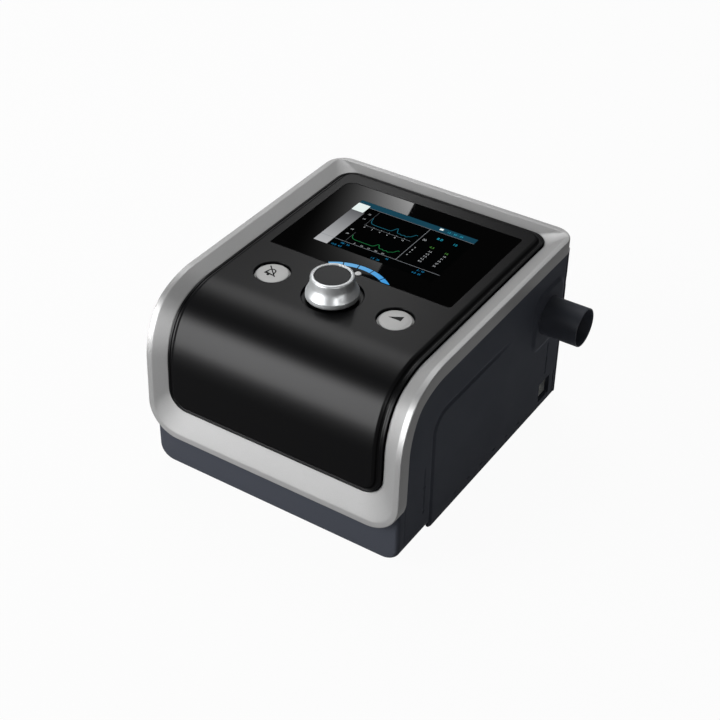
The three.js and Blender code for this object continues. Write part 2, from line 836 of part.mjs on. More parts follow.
// A slightly crowned cap with a collar that fills the hole and a flange that holds it under the cover
const buttonFlangeTop = -coverWall - seatGap;
const buttonStemEnd = buttonFlangeTop - buttonFlangeThickness - buttonStemLength;

function buttonCap() {
  return turned([
    [0, buttonStemEnd],
    [buttonStemRadius, buttonStemEnd],
    [buttonStemRadius, buttonFlangeTop - buttonFlangeThickness],
    [buttonFlangeRadius, buttonFlangeTop - buttonFlangeThickness],
    [buttonFlangeRadius, buttonFlangeTop],
    [buttonCollarRadius, buttonFlangeTop],
    [buttonCollarRadius, -buttonCollarDepth],
    [buttonRadius, -buttonCollarDepth + buttonEdgeRound],
    [buttonRadius, -buttonSink - buttonEdgeRound],
    [buttonRadius - buttonEdgeRound, -buttonSink - buttonCrown / 2],
    [buttonRadius / 2, -buttonSink],
    [0, -buttonSink],
  ], fineSteps);
}

function buttonSwitch() {
  const half = switchSize / 2;
  const low = -boardDrop + seatGap;
  const plungerTop = buttonStemEnd - buttonTravel - bearingGap;
  return joined(
    block([-half, -half, low], [half, half, low + switchHeight]),
    rod(switchPlungerRadius, low + switchHeight / 2, plungerTop, [0, 0, 0], 'z', coarseSteps));
}

function controlBoard() {
  const underside = -boardDrop - boardThickness;
  return block([-boardHalfWidth, boardFront, underside], [boardHalfWidth, boardRear, -boardDrop]);
}

// Housing

const shellTopDepth = frameDepth + shellTopGap;
const shellRearY = housingRearY - rearWall - seatGap;

// Where the lowered crest line passes a place in Y
function distanceAtY(y, depth) {
  let [low, high] = [0, frameRear];
  for (let i = 0; i < fineSteps; i += 1) {
    const middle = (low + high) / 2;
    if (sheetPoint(0, middle, -depth).y < y) low = middle;
    else high = middle;
  }
  return low;
}

// The side shells' outline in Y and Z: a straight front edge, then the line under the frame
function shellShape() {
  const start = distanceAtY(shellFrontY, shellTopDepth);
  const end = distanceAtY(shellRearY, shellTopDepth);
  return new THREE.Shape([
    new THREE.Vector2(shellFrontY, 0),
    new THREE.Vector2(shellRearY, 0),
    ...sideLine(start, end, shellTopDepth).reverse(),
  ]);
}

// A rounded slot drawn in Y and Z
function slotShape(y, low, high, width) {
  return roundedShape(y - width / 2, low, y + width / 2, high, width / 2 - mergeDistance);
}

// The groove that sets the lower panel off: up its front edge, round a corner and back along its top
function panelGroove() {
  const half = panelGrooveWidth / 2;
  const shape = new THREE.Shape();
  const [cy, cz] = [panelFrontY + panelRadius, panelTop - panelRadius];
  shape.moveTo(panelFrontY - half, -cutOverrun);
  shape.lineTo(panelFrontY + half, -cutOverrun);
  shape.absarc(cy, cz, panelRadius - half, Math.PI, Math.PI / 2, true);
  shape.absarc(panelRearY, panelTop, half, -Math.PI / 2, Math.PI / 2);
  shape.absarc(cy, cz, panelRadius + half, Math.PI / 2, Math.PI);
  return shape;
}

// A shell's plate with the posts that take the base screws, for the side given as -1 or 1
function sideShell(side) {
  const inner = housingHalfWidth - shellWall;
  const sided = (shape, near, far, bevel) =>
    plateX(shape, side > 0 ? near : -far, side > 0 ? far : -near, bevel);
  const face = housingHalfWidth + cutOverrun;
  const wall = sided(shellShape(), inner, housingHalfWidth, shellBevel);
  const posts = [screwFrontY, screwRearY].map((y) => {
    const low = trayFloor + seatGap;
    const post = rod(screwBossRadius, low, screwBossTop, [side * screwX, y, 0], 'z', coarseSteps);
    const web = sided(new THREE.Shape([
      new THREE.Vector2(y - shellWall / 2, trayWallHeight + seatGap),
      new THREE.Vector2(y + shellWall / 2, trayWallHeight + seatGap),
      new THREE.Vector2(y + shellWall / 2, screwBossTop),
      new THREE.Vector2(y - shellWall / 2, screwBossTop),
    ]), screwX, inner + shellWall / 2, 0);
    const hole = rod(screwShankRadius + bearingGap, low - cutOverrun, low + screwLength,
      [side * screwX, y, 0], 'z', coarseSteps);
    return cutBy(joined(post, web), hole);
  });
  const groove = sided(panelGroove(), housingHalfWidth - panelGrooveDepth, face, 0);
  return { shape: cutBy(joined(wall, ...posts), groove), sided, inner, face };
}

// The right shell takes the outlet pipe, and has the guides and the port for a humidifier
function rightShell() {
  const { shape, sided, inner, face } = sideShell(1);
  const pad = sided(roundedShape(outletY - padFrontReach, outletZ - padLowReach, outletY + padRearReach,
    outletZ + padTopReach, padRadius),
    housingHalfWidth - shellWall / 2, housingHalfWidth + padRise, 0);
  const guides = [
    [frontGuideY, frontGuideLow, frontGuideTop, frontGuideDot],
    [rearGuideY, rearGuideLow, rearGuideTop, rearGuideDot],
  ].flatMap(([y, low, high, dot]) => [
    sided(slotShape(y, low, high, guideWidth), housingHalfWidth - guideDepth, face, 0),
    ...[dot, low].map((z) =>
      rod(guideDotRadius, housingHalfWidth - guideDepth, face, [0, y, z], 'x', coarseSteps)),
  ]);
  const latches = Array.from({ length: latchCount }, (_, i) => {
    const y = latchFirstY + i * latchSpacing;
    return block([housingHalfWidth - latchDepth, y - latchLength / 2, latchHeight - latchRise / 2],
      [face, y + latchLength / 2, latchHeight + latchRise / 2]);
  });
  const port = block([inner - cutOverrun, portFrontY, portLow], [face, portRearY, portTop]);
  const tag = sided(slotShape(tagY, tagLow, tagTop, tagWidth), housingHalfWidth - guideDepth, face, 0);
  const centre = [0, outletY, outletZ];
  const bore = rod(outletRadius + seatGap, inner - cutOverrun, face + padRise, centre, 'x', fineSteps);
  return cutBy(joined(shape, pad), ...guides, ...latches, port, tag, bore);
}

// The left shell has the slot for the data card
function leftShell() {
  const { shape, inner, face } = sideShell(-1);
  const half = cardWidth / 2 + slideGap;
  const rise = cardThickness / 2 + slideGap;
  const slot = block([-face, cardY - half, cardZ - rise], [-inner + cutOverrun, cardY + half, cardZ + rise]);
  return cutBy(shape, slot);
}

// A front wall with rounded corners whose ends turn back to the shells, and behind the frame a
// thin wedge that closes the gap between the frame and the shells
function frontApron() {
  const top = sheetPoint(0, frameLow, -frameDepth).z - seatGap;
  const rear = shellFrontY - apronSeam;
  const outline = (inset) => {
    const edge = housingHalfWidth - inset;
    const front = housingFrontY + inset;
    const r = Math.max(housingCornerRadius - inset, smallestRadius);
    const shape = new THREE.Shape();
    const back = rear + (inset > 0 ? cutOverrun : 0);
    shape.moveTo(-edge, back);
    shape.lineTo(-edge, front + r);
    shape.absarc(-edge + r, front + r, r, Math.PI, Math.PI * 1.5);
    shape.absarc(edge - r, front + r, r, -Math.PI / 2, 0);
    shape.lineTo(edge, back);
    return shape;
  };
  const ends = roundedShape(-housingHalfWidth, 0, housingHalfWidth, top + housingLowRadius, housingLowRadius);
  const hollow = solid(plate(outline(apronWall), -cutOverrun, top + cutOverrun));
  const wall = cutBy(solid(plate(outline(0), 0, top)), hollow)
    .intersect(plateY(ends, housingFrontY - cutOverrun, rear + cutOverrun));
  const wedgeLow = top - apronWall;
  const depth = frameDepth + seatGap;
  const frontAt = (z) => sheetPoint(0, z / Math.cos(frontLean * degree), -depth).y;
  const inner = housingHalfWidth - shellWall;
  const wedge = plateX(new THREE.Shape([
    new THREE.Vector2(frontAt(wedgeLow), wedgeLow),
    new THREE.Vector2(rear, wedgeLow),
    new THREE.Vector2(rear, bulkheadTop),
    new THREE.Vector2(frontAt(bulkheadTop), bulkheadTop),
  ]), -inner, inner, 0);
  return joined(wall, wedge);
}

// The rear wall, with a horizontal groove, the inlet's opening and the holes for the sockets
function rearPanel() {
  const top = sheetPoint(0, frameRear, -frameDepth - shellTopGap).z;
  const near = housingRearY - rearWall;
  const outline = new THREE.Shape();
  const r = rearCornerRadius;
  outline.moveTo(-housingHalfWidth, near);
  outline.lineTo(housingHalfWidth, near);
  outline.absarc(housingHalfWidth - r, housingRearY - r, r, 0, Math.PI / 2);
  outline.absarc(-housingHalfWidth + r, housingRearY - r, r, Math.PI / 2, Math.PI);
  const low = new THREE.Shape();
  low.moveTo(near - cutOverrun, 0);
  low.lineTo(housingRearY - rearLowRadius, 0);
  low.absarc(housingRearY - rearLowRadius, rearLowRadius, rearLowRadius, -Math.PI / 2, 0);
  low.lineTo(housingRearY, top);
  low.lineTo(near - cutOverrun, top);
  const wall = solid(plate(outline, 0, top)).intersect(plateX(low, -housingHalfWidth, housingHalfWidth, 0));
  const face = housingRearY + cutOverrun;
  const reach = housingHalfWidth + cutOverrun;
  const groove = block([-reach, housingRearY - rearGrooveDepth, rearGrooveHeight - rearGrooveWidth / 2],
    [reach, face, rearGrooveHeight + rearGrooveWidth / 2]);
  const inlet = block([inletX - inletHalfWidth, near - cutOverrun, inletZ - inletHalfHeight],
    [inletX + inletHalfWidth, face, inletZ + inletHalfHeight]);
  const power = powerSize / 2 + seatGap;
  const socket = block(
    [powerX - power, near - cutOverrun, powerZ - power],
    [powerX + power, face, powerZ + power],
  );
  const plugHole = block(
    [plugX - plugWidth / 2 - seatGap, near - cutOverrun, powerZ - plugHeight / 2 - seatGap],
    [plugX + plugWidth / 2 + seatGap, face, powerZ + plugHeight / 2 + seatGap],
  );
  return joined(cutBy(wall, groove, inlet, socket, plugHole), ...hingeLugs(near));
}

// The two lugs under the inlet that carry the filter cover's hinge
const hingeY = housingRearY + coverStandOff;
const hingeZ = inletZ - inletHalfHeight - coverHingeDrop;
const hingeReach = inletHalfWidth * hingePlaceShare;
const hingeLugRadius = hingeRadius + hingeLugWall;

function hingeLugs(near) {
  return [-1, 1].map((side) => {
    const middle = inletX + side * hingeReach;
    const [x0, x1] = [middle - hingeLugWidth / 2, middle + hingeLugWidth / 2];
    const lug = joined(
      rod(hingeLugRadius, x0, x1, [0, hingeY, hingeZ], 'x', coarseSteps),
      block([x0, near + rearWall / 2, hingeZ - hingeLugRadius], [x1, hingeY, hingeZ + hingeLugRadius]));
    const axis = [0, hingeY, hingeZ];
    const hole = rod(hingeRadius + bearingGap, x0 - cutOverrun, x1 + cutOverrun, axis, 'x', coarseSteps);
    return cutBy(lug, hole);
  });
}

// A slotted lid over the inlet. Its hinge rod runs through both lugs and is part of it.
function filterCover() {
  const near = housingRearY + seatGap;
  const far = near + filterCoverThickness;
  const half = inletHalfWidth + filterCoverRim;
  const high = inletZ + inletHalfHeight + filterCoverRim;
  const low = hingeZ + hingeLugRadius + 2 * seatGap;
  const lid = plateY(roundedShape(inletX - half, low, inletX + half, high, filterCoverRadius), near, far);
  const span = high - low - 2 * filterCoverRim;
  const pitch = span / grilleSlots;
  const slots = Array.from({ length: grilleSlots }, (_, i) => {
    const z = low + filterCoverRim + pitch * (i + 1 / 2);
    const rise = (pitch * grilleSlotShare) / 2;
    return block([inletX - inletHalfWidth + inletBoxWall, near - cutOverrun, z - rise],
      [inletX + inletHalfWidth - inletBoxWall, far + cutOverrun, z + rise]);
  });
  const reach = hingeReach + hingeLugWidth / 2 + hingeLugWall;
  const pin = rod(hingeRadius, inletX - reach, inletX + reach, [0, hingeY, hingeZ], 'x', coarseSteps);
  const inner = hingeReach - hingeLugWidth / 2 - seatGap;
  const knuckle = block([inletX - inner, hingeY - hingeRadius / 2, hingeZ - hingeRadius / 2],
    [inletX + inner, far, low + filterCoverRim / 2]);
  return joined(cutBy(lid, ...slots), knuckle, pin);
}

function filterFoam() {
  const far = housingRearY - seatGap;
  return block([inletX - inletHalfWidth + seatGap, far - filterThickness, inletZ - inletHalfHeight + seatGap],
    [inletX + inletHalfWidth - seatGap, far, inletZ + inletHalfHeight - seatGap]);
}

// The silencer box behind the inlet, open to the rear, with a port towards the blower
function inletBox() {
  const rear = housingRearY - rearWall - seatGap;
  const front = rear - inletBoxLength;
  const [hw, hh] = [inletHalfWidth + inletBoxMargin, inletHalfHeight + inletBoxMargin];
  const outer = block([inletX - hw, front, inletZ - hh], [inletX + hw, rear, inletZ + hh]);
  const inner = block([inletX - hw + inletBoxWall, front + inletBoxWall, inletZ - hh + inletBoxWall],
    [inletX + hw - inletBoxWall, rear + cutOverrun, inletZ + hh - inletBoxWall]);
  const port = rod(inletPortRadius, inletZ + hh - inletBoxWall - cutOverrun, inletZ + hh + cutOverrun,
    [inletX, front + inletBoxLength / 2, 0]);
  return cutBy(outer, inner, port);
}

// The floor, its low rim, the standoffs under the board and the columns under the blower
const trayHalfWidth = housingHalfWidth - shellWall - seatGap;
const trayFrontY = housingFrontY + apronWall + seatGap;
const trayRearY = housingRearY - rearWall - seatGap;
const isolatorLow = blowerFloor - blowerFootThickness - isolatorThickness - seatGap;
const blowerFeet = blowerFootAngles.map((angle) => [
  blowerX + (blowerRadius - blowerFootInset) * Math.cos(angle * degree),
  blowerY + (blowerRadius - blowerFootInset) * Math.sin(angle * degree),
]);
const screwPlaces = [screwFrontY, screwRearY].flatMap((y) => [-1, 1].map((side) => [side * screwX, y]));
const footPlaces = [footFrontY, footRearY].flatMap((y) => [-1, 1].map((side) => [side * footX, y]));

function baseTray() {
  const outline = (inset) => roundedShape(-trayHalfWidth + inset, trayFrontY + inset,
    trayHalfWidth - inset, trayRearY - inset, housingCornerRadius - inset);
  const pan = cutBy(solid(plate(outline(0), 0, trayWallHeight)),
    solid(plate(outline(trayWall), trayFloor, trayWallHeight + cutOverrun)));
  const lowEdges = plateY(roundedShape(-trayHalfWidth, 0, trayHalfWidth, trayWallHeight + housingLowRadius,
    housingLowRadius - shellWall), trayFrontY - cutOverrun, trayRearY + cutOverrun);
  const standoffs = [mainBoardFront + standoffInset, mainBoardRear - standoffInset].flatMap((y) =>
    [-1, 1].map((side) => rod(standoffRadius, trayFloor / 2, mainBoardHeight - seatGap,
      [side * (mainBoardHalfWidth - standoffInset), y, 0], 'z', coarseSteps)));
  const columns = blowerFeet.map(([x, y]) =>
    rod(isolatorRadius, trayFloor / 2, isolatorLow - seatGap, [x, y, 0], 'z', coarseSteps));
  const recesses = footPlaces.map(([x, y]) => rod(footRadius + seatGap, -cutOverrun, footRecess, [x, y, 0]));
  const holes = screwPlaces.flatMap(([x, y]) => [
    rod(screwShankRadius + seatGap, -cutOverrun, trayWallHeight + cutOverrun, [x, y, 0], 'z', coarseSteps),
    rod(screwHeadRadius + seatGap, -cutOverrun, screwRecess, [x, y, 0], 'z', coarseSteps),
    block([x - screwBossRadius - seatGap, y - screwBossRadius - seatGap, trayFloor],
      [x + screwBossRadius + seatGap, y + screwBossRadius + seatGap, trayWallHeight + cutOverrun]),
  ]);
  const linkSpace = block(
    [trayHalfWidth - linkSocketDepth - seatGap, portFrontY - apronWall - seatGap, trayFloor],
    [trayHalfWidth + cutOverrun, portRearY + apronWall + seatGap, trayWallHeight + cutOverrun],
  );
  return cutBy(joined(pan.intersect(lowEdges), ...standoffs, ...columns), ...recesses, ...holes, linkSpace);
}

function foot() {
  return turned([
    [0, -footHeight],
    [footTopRadius, -footHeight],
    [footRadius, -footHeight / 2],
    [footRadius, footRecess - seatGap],
    [0, footRecess - seatGap],
  ], roundSteps);
}

// A pan head with a cross slot, and a plain shank
function baseScrew() {
  const headLow = screwRecess - screwHeadHeight - seatGap;
  const head = screwRecess - seatGap;
  const body = turned([
    [0, headLow],
    [screwHeadRadius, headLow],
    [screwHeadRadius, head],
    [screwShankRadius, head],
    [screwShankRadius, head + screwLength],
    [0, head + screwLength],
  ], coarseSteps);
  const reach = screwHeadRadius * Math.SQRT1_2;
  const slot = (a, b) => block([-a, -b, headLow - cutOverrun], [a, b, headLow + slotDepth]);
  return cutBy(body, slot(reach, slotWidth / 2), slot(slotWidth / 2, reach));
}

// Blower

// The whole volute: a drum with a spout that leaves it at a tangent
const blowerMiddle = (blowerFloor + blowerRoof) / 2;
function volute() {
  const drum = rod(blowerRadius, blowerFloor, blowerRoof, [blowerX, blowerY, 0], 'z', fineSteps);
  const spout = rod(blowerSpoutRadius, blowerX, blowerSpoutEnd, [0, outletY, outletZ], 'x');
  const hollow = rod(blowerRadius - blowerWall, blowerFloor + blowerWall, blowerRoof - blowerWall,
    [blowerX, blowerY, 0], 'z', fineSteps);
  const centre = [0, outletY, outletZ];
  const bore = rod(blowerSpoutRadius - blowerWall, blowerX, blowerSpoutEnd + cutOverrun, centre, 'x');
  return cutBy(joined(drum, spout), hollow, bore);
}

function keepBetween(shape, low, high) {
  const reach = 2 * blowerRadius;
  const half = block([blowerX - reach, blowerY - reach, low], [blowerX + reach, blowerY + reach, high]);
  return shape.intersect(half);
}

function blowerLower() {
  const cup = keepBetween(volute(), blowerFloor - cutOverrun, blowerMiddle - seatGap / 2);
  const feet = blowerFeet.map(([x, y]) => rod(blowerFootRadius, blowerFloor - blowerFootThickness,
    blowerFloor + blowerWall / 2, [x, y, 0], 'z', coarseSteps));
  const holeTop = blowerFloor + blowerWall + cutOverrun;
  const shaftHole = rod(motorShaftRadius + seatGap, blowerFloor - cutOverrun, holeTop,
    [blowerX, blowerY, 0], 'z', coarseSteps);
  return cutBy(joined(cup, ...feet), shaftHole);
}

function blowerUpper() {
  const lid = keepBetween(volute(), blowerMiddle + seatGap / 2, blowerRoof + cutOverrun);
  const eye = rod(blowerEyeRadius, blowerRoof - blowerWall - cutOverrun, blowerRoof + cutOverrun,
    [blowerX, blowerY, 0]);
  return cutBy(lid, eye);
}

// A disc with backward-swept blades, drawn round the blower's axis
function impeller() {
  const disc = rod(impellerRadius, impellerBase, impellerBase + impellerPlate, [0, 0, 0], 'z', fineSteps);
  const top = impellerBase + impellerPlate + impellerBladeHeight;
  const hub = rod(impellerHubRadius, impellerBase, top);
  const lean = impellerBladeRoot * bladeSweepShare;
  const half = impellerBladeThickness / 2;
  const blade = new THREE.Shape([
    new THREE.Vector2(impellerBladeRoot, -half),
    new THREE.Vector2(impellerRadius - impellerBladeThickness, -lean - half),
    new THREE.Vector2(impellerRadius - impellerBladeThickness, -lean + half),
    new THREE.Vector2(impellerBladeRoot, half),
  ]);
  const blades = Array.from({ length: impellerBlades }, (_, i) => {
    const geometry = plate(blade, impellerBase + impellerPlate / 2, top);
    return solid(geometry.rotateZ((2 * Math.PI * i) / impellerBlades));
  });
  const low = impellerBase - cutOverrun;
  const bore = rod(motorShaftRadius + bearingGap, low, top + cutOverrun, [0, 0, 0], 'z', coarseSteps);
  return cutBy(joined(disc, hub, ...blades), bore);
}

const motorTop = blowerFloor - seatGap;
const motorLow = motorTop - motorHeight;

function motorCan() {
  return turned([
    [0, motorLow],
    [motorRadius - blowerWall, motorLow],
    [motorRadius, motorLow + blowerWall],
    [motorRadius, motorTop],
    [motorShaftRadius + seatGap, motorTop],
    [motorShaftRadius + seatGap, motorLow + blowerWall],
    [0, motorLow + blowerWall],
  ], roundSteps, [blowerX, blowerY, 0]);
}

function motorShaft() {
  const top = impellerBase + impellerPlate + impellerBladeHeight + motorShaftProud;
  return rod(motorShaftRadius, motorLow + blowerWall + seatGap, top, [0, 0, 0], 'z', coarseSteps);
}

function isolator([x, y]) {
  const top = isolatorLow + isolatorThickness;
  return tube(isolatorRadius, boltHoleRadius, isolatorLow, top, [x, y, 0], 'z', coarseSteps);
}

// A rubber sleeve over the spout and the outlet pipe's inner end
function ductBoot() {
  const inner = blowerSpoutRadius + seatGap;
  return tube(inner + bootWall, inner, bootLow, outletInner + bootOverlap, [0, outletY, outletZ], 'x');
}

// The outlet pipe with the flange that holds it behind the shell
function outletPipe() {
  return turned([
    [outletBore, outletInner],
    [outletRadius, outletInner],
    [outletRadius, outletFlangeNear],
    [outletFlangeRadius, outletFlangeNear],
    [outletFlangeRadius, outletFlangeFar],
    [outletRadius, outletFlangeFar],
    [outletRadius, outletEnd - outletLip],
    [outletRadius - outletLip, outletEnd],
    [outletBore + outletLip / 2, outletEnd],
    [outletBore, outletEnd - outletLip],
    [outletBore, outletInner],
  ], fineSteps, [0, outletY, outletZ], 'x');
}

// Boards and sockets

const mainBoardTop = mainBoardHeight + boardThickness;

function mainBoard() {
  return block(
    [-mainBoardHalfWidth, mainBoardFront, mainBoardHeight],
    [mainBoardHalfWidth, mainBoardRear, mainBoardTop],
  );
}

function heatSink() {
  const low = mainBoardTop + seatGap;
  const [x0, x1] = [heatSinkX - heatSinkWidth / 2, heatSinkX + heatSinkWidth / 2];
  const [y0, y1] = [heatSinkY - heatSinkDepth / 2, heatSinkY + heatSinkDepth / 2];
  const pitch = heatSinkWidth / heatSinkFins;
  const gaps = Array.from({ length: heatSinkFins - 1 }, (_, i) => {
    const middle = x0 + pitch * (i + 1);
    const half = (pitch * (1 - finShare)) / 2;
    return block([middle - half, y0 - cutOverrun, low + heatSinkBase], [middle + half, y1 + cutOverrun,
      low + heatSinkHeight + cutOverrun]);
  });
  return cutBy(block([x0, y0, low], [x1, y1, low + heatSinkHeight]), ...gaps);
}

function capacitor([x, y]) {
  const low = mainBoardTop + seatGap;
  return rod(capacitorRadius, low, low + capacitorHeight, [x, y, 0]);
}

function flowSensor() {
  const low = mainBoardTop + seatGap;
  const top = low + sensorHeight;
  const body = block([sensorX - sensorWidth / 2, sensorY - sensorDepth / 2, low],
    [sensorX + sensorWidth / 2, sensorY + sensorDepth / 2, top]);
  const ports = [-1, 1].map((side) => rod(sensorPortRadius, top - sensorPortRadius, top + sensorPortHeight,
    [sensorX + (side * sensorPortSpacing) / 2, sensorY, 0], 'z', coarseSteps));
  return joined(body, ...ports);
}

// A square socket with four pins in its hollow
function powerInlet() {
  const [near, far] = [housingRearY - powerDepth, housingRearY];
  const half = powerSize / 2;
  const hollow = powerHollow / 2;
  const body = block([powerX - half, near, powerZ - half], [powerX + half, far, powerZ + half]);
  const collar = half + powerFlange;
  const collarFar = housingRearY - rearWall - seatGap;
  const flange = block([powerX - collar, collarFar - powerFlange, powerZ - collar],
    [powerX + collar, collarFar, powerZ + collar]);
  const floor = far - powerHollowDepth;
  const space = block(
    [powerX - hollow, floor, powerZ - hollow],
    [powerX + hollow, far + cutOverrun, powerZ + hollow],
  );
  const pinAt = (a, b) => [powerX + (a * powerPinSpacing) / 2, 0, powerZ + (b * powerPinSpacing) / 2];
  const pins = [-1, 1].flatMap((a) => [-1, 1].map((b) =>
    rod(powerPinRadius, floor - powerPinRadius, floor + powerPinHeight, pinAt(a, b), 'y', coarseSteps)));
  return joined(cutBy(joined(body, flange), space), ...pins);
}

// A soft plug with a rim that lies on the rear wall
function socketPlug() {
  const near = housingRearY + seatGap;
  const [hw, hh] = [plugWidth / 2, plugHeight / 2];
  const rim = plateY(roundedShape(plugX - hw - plugRim, powerZ - hh - plugRim, plugX + hw + plugRim,
    powerZ + hh + plugRim, plugRim), near, near + plugCrown);
  const body = block(
    [plugX - hw, housingRearY - plugDepth, powerZ - hh],
    [plugX + hw, near + plugCrown / 2, powerZ + hh],
  );
  return joined(rim, body);
}

// The connector block behind the right shell's port, with contact blades in a hollow
function linkSocket() {
  const far = housingHalfWidth - shellWall - seatGap;
  const near = far - linkSocketDepth;
  const floor = housingHalfWidth - portDepth;
  const body = block(
    [near, portFrontY - apronWall, portLow - seatGap],
    [far, portRearY + apronWall, portTop + apronWall],
  );
  const hollow = block([floor, portFrontY, portLow + seatGap], [far + cutOverrun, portRearY, portTop]);
  const pitch = (portRearY - portFrontY) / (bladeCount + 1);
  const rise = ((portTop - portLow) * bladeHeightShare) / 2;
  const middle = (portTop + portLow) / 2;
  const blades = Array.from({ length: bladeCount }, (_, i) => {
    const y = portFrontY + pitch * (i + 1);
    return block([floor - bladeThickness, y - bladeThickness / 2, middle - rise],
      [floor + bladeThickness * 2, y + bladeThickness / 2, middle + rise]);
  });
  return joined(cutBy(body, hollow), ...blades);
}

// A flat sleeve behind the left shell's slot
const cardInnerX = -(housingHalfWidth - shellWall - seatGap);

function cardSocket() {
  const [x0, x1] = [cardInnerX, cardInnerX + cardSocketLength];
  const half = cardWidth / 2 + slideGap;
  const rise = cardThickness / 2 + slideGap;
  const outer = block([x0, cardY - half - cardSocketWall, cardZ - rise - cardSocketWall],
    [x1, cardY + half + cardSocketWall, cardZ + rise + cardSocketWall]);
  const space = block(
    [x0 - cutOverrun, cardY - half, cardZ - rise],
    [x1 + cutOverrun, cardY + half, cardZ + rise],
  );
  return cutBy(outer, space);
}

// A small card with one corner cut off, whose edge stands a little out of the slot
function dataCard() {
  const x0 = -housingHalfWidth - cardProud;
  const x1 = x0 + cardLength;
  const [y0, y1] = [cardY - cardWidth / 2, cardY + cardWidth / 2];
  const outline = new THREE.Shape([
    new THREE.Vector2(x0, y0),
    new THREE.Vector2(x1 - cardNotch, y0),
    new THREE.Vector2(x1, y0 + cardNotch),
    new THREE.Vector2(x1, y1),
    new THREE.Vector2(x0, y1),
  ]);
  return solid(plate(outline, cardZ - cardThickness / 2, cardZ + cardThickness / 2));
}

// Assembly

const machine = new THREE.Group();
const deck = new THREE.Group();
deck.applyMatrix4(deckMatrix);
machine.add(deck);

function addPart(name, shape, look, parent = machine, place = [0, 0, 0]) {
  const mesh = new THREE.Mesh(geometryOf(shape), new THREE.MeshStandardMaterial(looks[look]));
  mesh.name = name;
  mesh.position.set(...place);
  parent.add(mesh);
}

addPart('silver_frame', silverFrame(), 'silver');
addPart('front_cover', frontCover(), 'black');
addPart('front_apron', frontApron(), 'housing');
addPart('right_shell', rightShell(), 'housing');
addPart('left_shell', leftShell(), 'housing');
addPart('rear_panel', rearPanel(), 'housing');
addPart('base_tray', baseTray(), 'housing');

addPart('display_window', windowSolid(0, -windowThickness, 0), 'gloss', deck);
addPart('screen_panel', screenPanel(), 'screen', deck);
addPart('screen_backplate', screenBackplate(), 'steel', deck);
addPart('light_arc', solid(plate(bandShape(arcRadius, arcWidth, arcHalfAngle), -arcDepth, 0)), 'light', deck);
const lens = rod(lampRadius, -lampDepth, lampProud, [0, 0, 0], 'z', coarseSteps);
addPart('status_lens', lens, 'lamp', deck, [0, lampPlace, 0]);
addPart('knob_shell', knobShell(), 'silver', deck);
addPart('knob_cap', knobCap(), 'cap', deck);
addPart('encoder_shaft', encoderShaft(), 'steel', deck);
addPart('encoder_body', encoderBody(), 'steel', deck);
addPart('control_board', controlBoard(), 'board', deck);
for (const [name, side] of [['mute', -1], ['ramp', 1]]) {
  addPart(`${name}_button`, buttonCap(), 'button', deck, [side * buttonSpread, 0, 0]);
  addPart(`${name}_switch`, buttonSwitch(), 'rubber', deck, [side * buttonSpread, 0, 0]);
}

footPlaces.forEach(([x, y], i) => addPart(`foot_${i + 1}`, foot(), 'rubber', machine, [x, y, 0]));
screwPlaces.forEach(([x, y], i) => addPart(`base_screw_${i + 1}`, baseScrew(), 'steel', machine, [x, y, 0]));

addPart('blower_lower', blowerLower(), 'ivory');
addPart('blower_upper', blowerUpper(), 'ivory');
addPart('impeller', impeller(), 'pale', machine, [blowerX, blowerY, 0]);
addPart('motor_shaft', motorShaft(), 'steel', machine, [blowerX, blowerY, 0]);
addPart('motor_can', motorCan(), 'steel');
blowerFeet.forEach((place, i) => addPart(`isolator_${i + 1}`, isolator(place), 'rubber'));
addPart('duct_boot', ductBoot(), 'rubber');
addPart('outlet_pipe', outletPipe(), 'housing');
addPart('inlet_box', inletBox(), 'ivory');
addPart('filter_foam', filterFoam(), 'foam');
addPart('filter_cover', filterCover(), 'housing');

addPart('main_board', mainBoard(), 'board');
addPart('heat_sink', heatSink(), 'steel');
capacitorPlaces.forEach((place, i) => addPart(`capacitor_${i + 1}`, capacitor(place), 'black'));
addPart('flow_sensor', flowSensor(), 'pale');
addPart('power_inlet', powerInlet(), 'black');
addPart('socket_plug', socketPlug(), 'rubber');
addPart('link_socket', linkSocket(), 'pale');
addPart('card_socket', cardSocket(), 'steel');
addPart('data_card', dataCard(), 'black');

// The origin is the middle of the machine's footprint, on the surface that it stands on
const machineBox = new THREE.Box3().setFromObject(machine);
const middle = machineBox.getCenter(new THREE.Vector3());
machine.position.set(-middle.x, -middle.y, -machineBox.min.z);
machine.updateMatrixWorld(true);

export default machine;
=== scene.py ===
"""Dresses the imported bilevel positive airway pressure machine: fine surfaces for the pieces that show, a
material for every piece, a plain stage and the camera. Lengths are in millimetres in the housing's own
frame, X across, Y to the rear and Z up from the housing's underside, until place() turns them into the part's
metres."""
import math
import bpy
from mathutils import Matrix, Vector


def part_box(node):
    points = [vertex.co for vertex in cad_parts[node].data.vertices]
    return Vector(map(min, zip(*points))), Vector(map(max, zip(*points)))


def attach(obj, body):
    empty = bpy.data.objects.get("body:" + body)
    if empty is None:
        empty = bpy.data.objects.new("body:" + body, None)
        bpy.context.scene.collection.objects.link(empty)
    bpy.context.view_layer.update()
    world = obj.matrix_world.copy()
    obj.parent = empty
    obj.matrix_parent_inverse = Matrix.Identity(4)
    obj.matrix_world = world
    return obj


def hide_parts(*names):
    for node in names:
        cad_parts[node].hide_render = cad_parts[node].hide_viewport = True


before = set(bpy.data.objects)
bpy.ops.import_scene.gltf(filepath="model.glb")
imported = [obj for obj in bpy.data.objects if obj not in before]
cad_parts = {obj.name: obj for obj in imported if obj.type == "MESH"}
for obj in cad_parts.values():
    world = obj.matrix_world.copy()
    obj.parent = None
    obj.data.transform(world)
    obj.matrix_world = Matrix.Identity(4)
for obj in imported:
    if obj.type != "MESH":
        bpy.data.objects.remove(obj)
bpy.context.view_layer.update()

from types import SimpleNamespace

import bmesh
import bpy
import numpy as np
from mathutils import Matrix

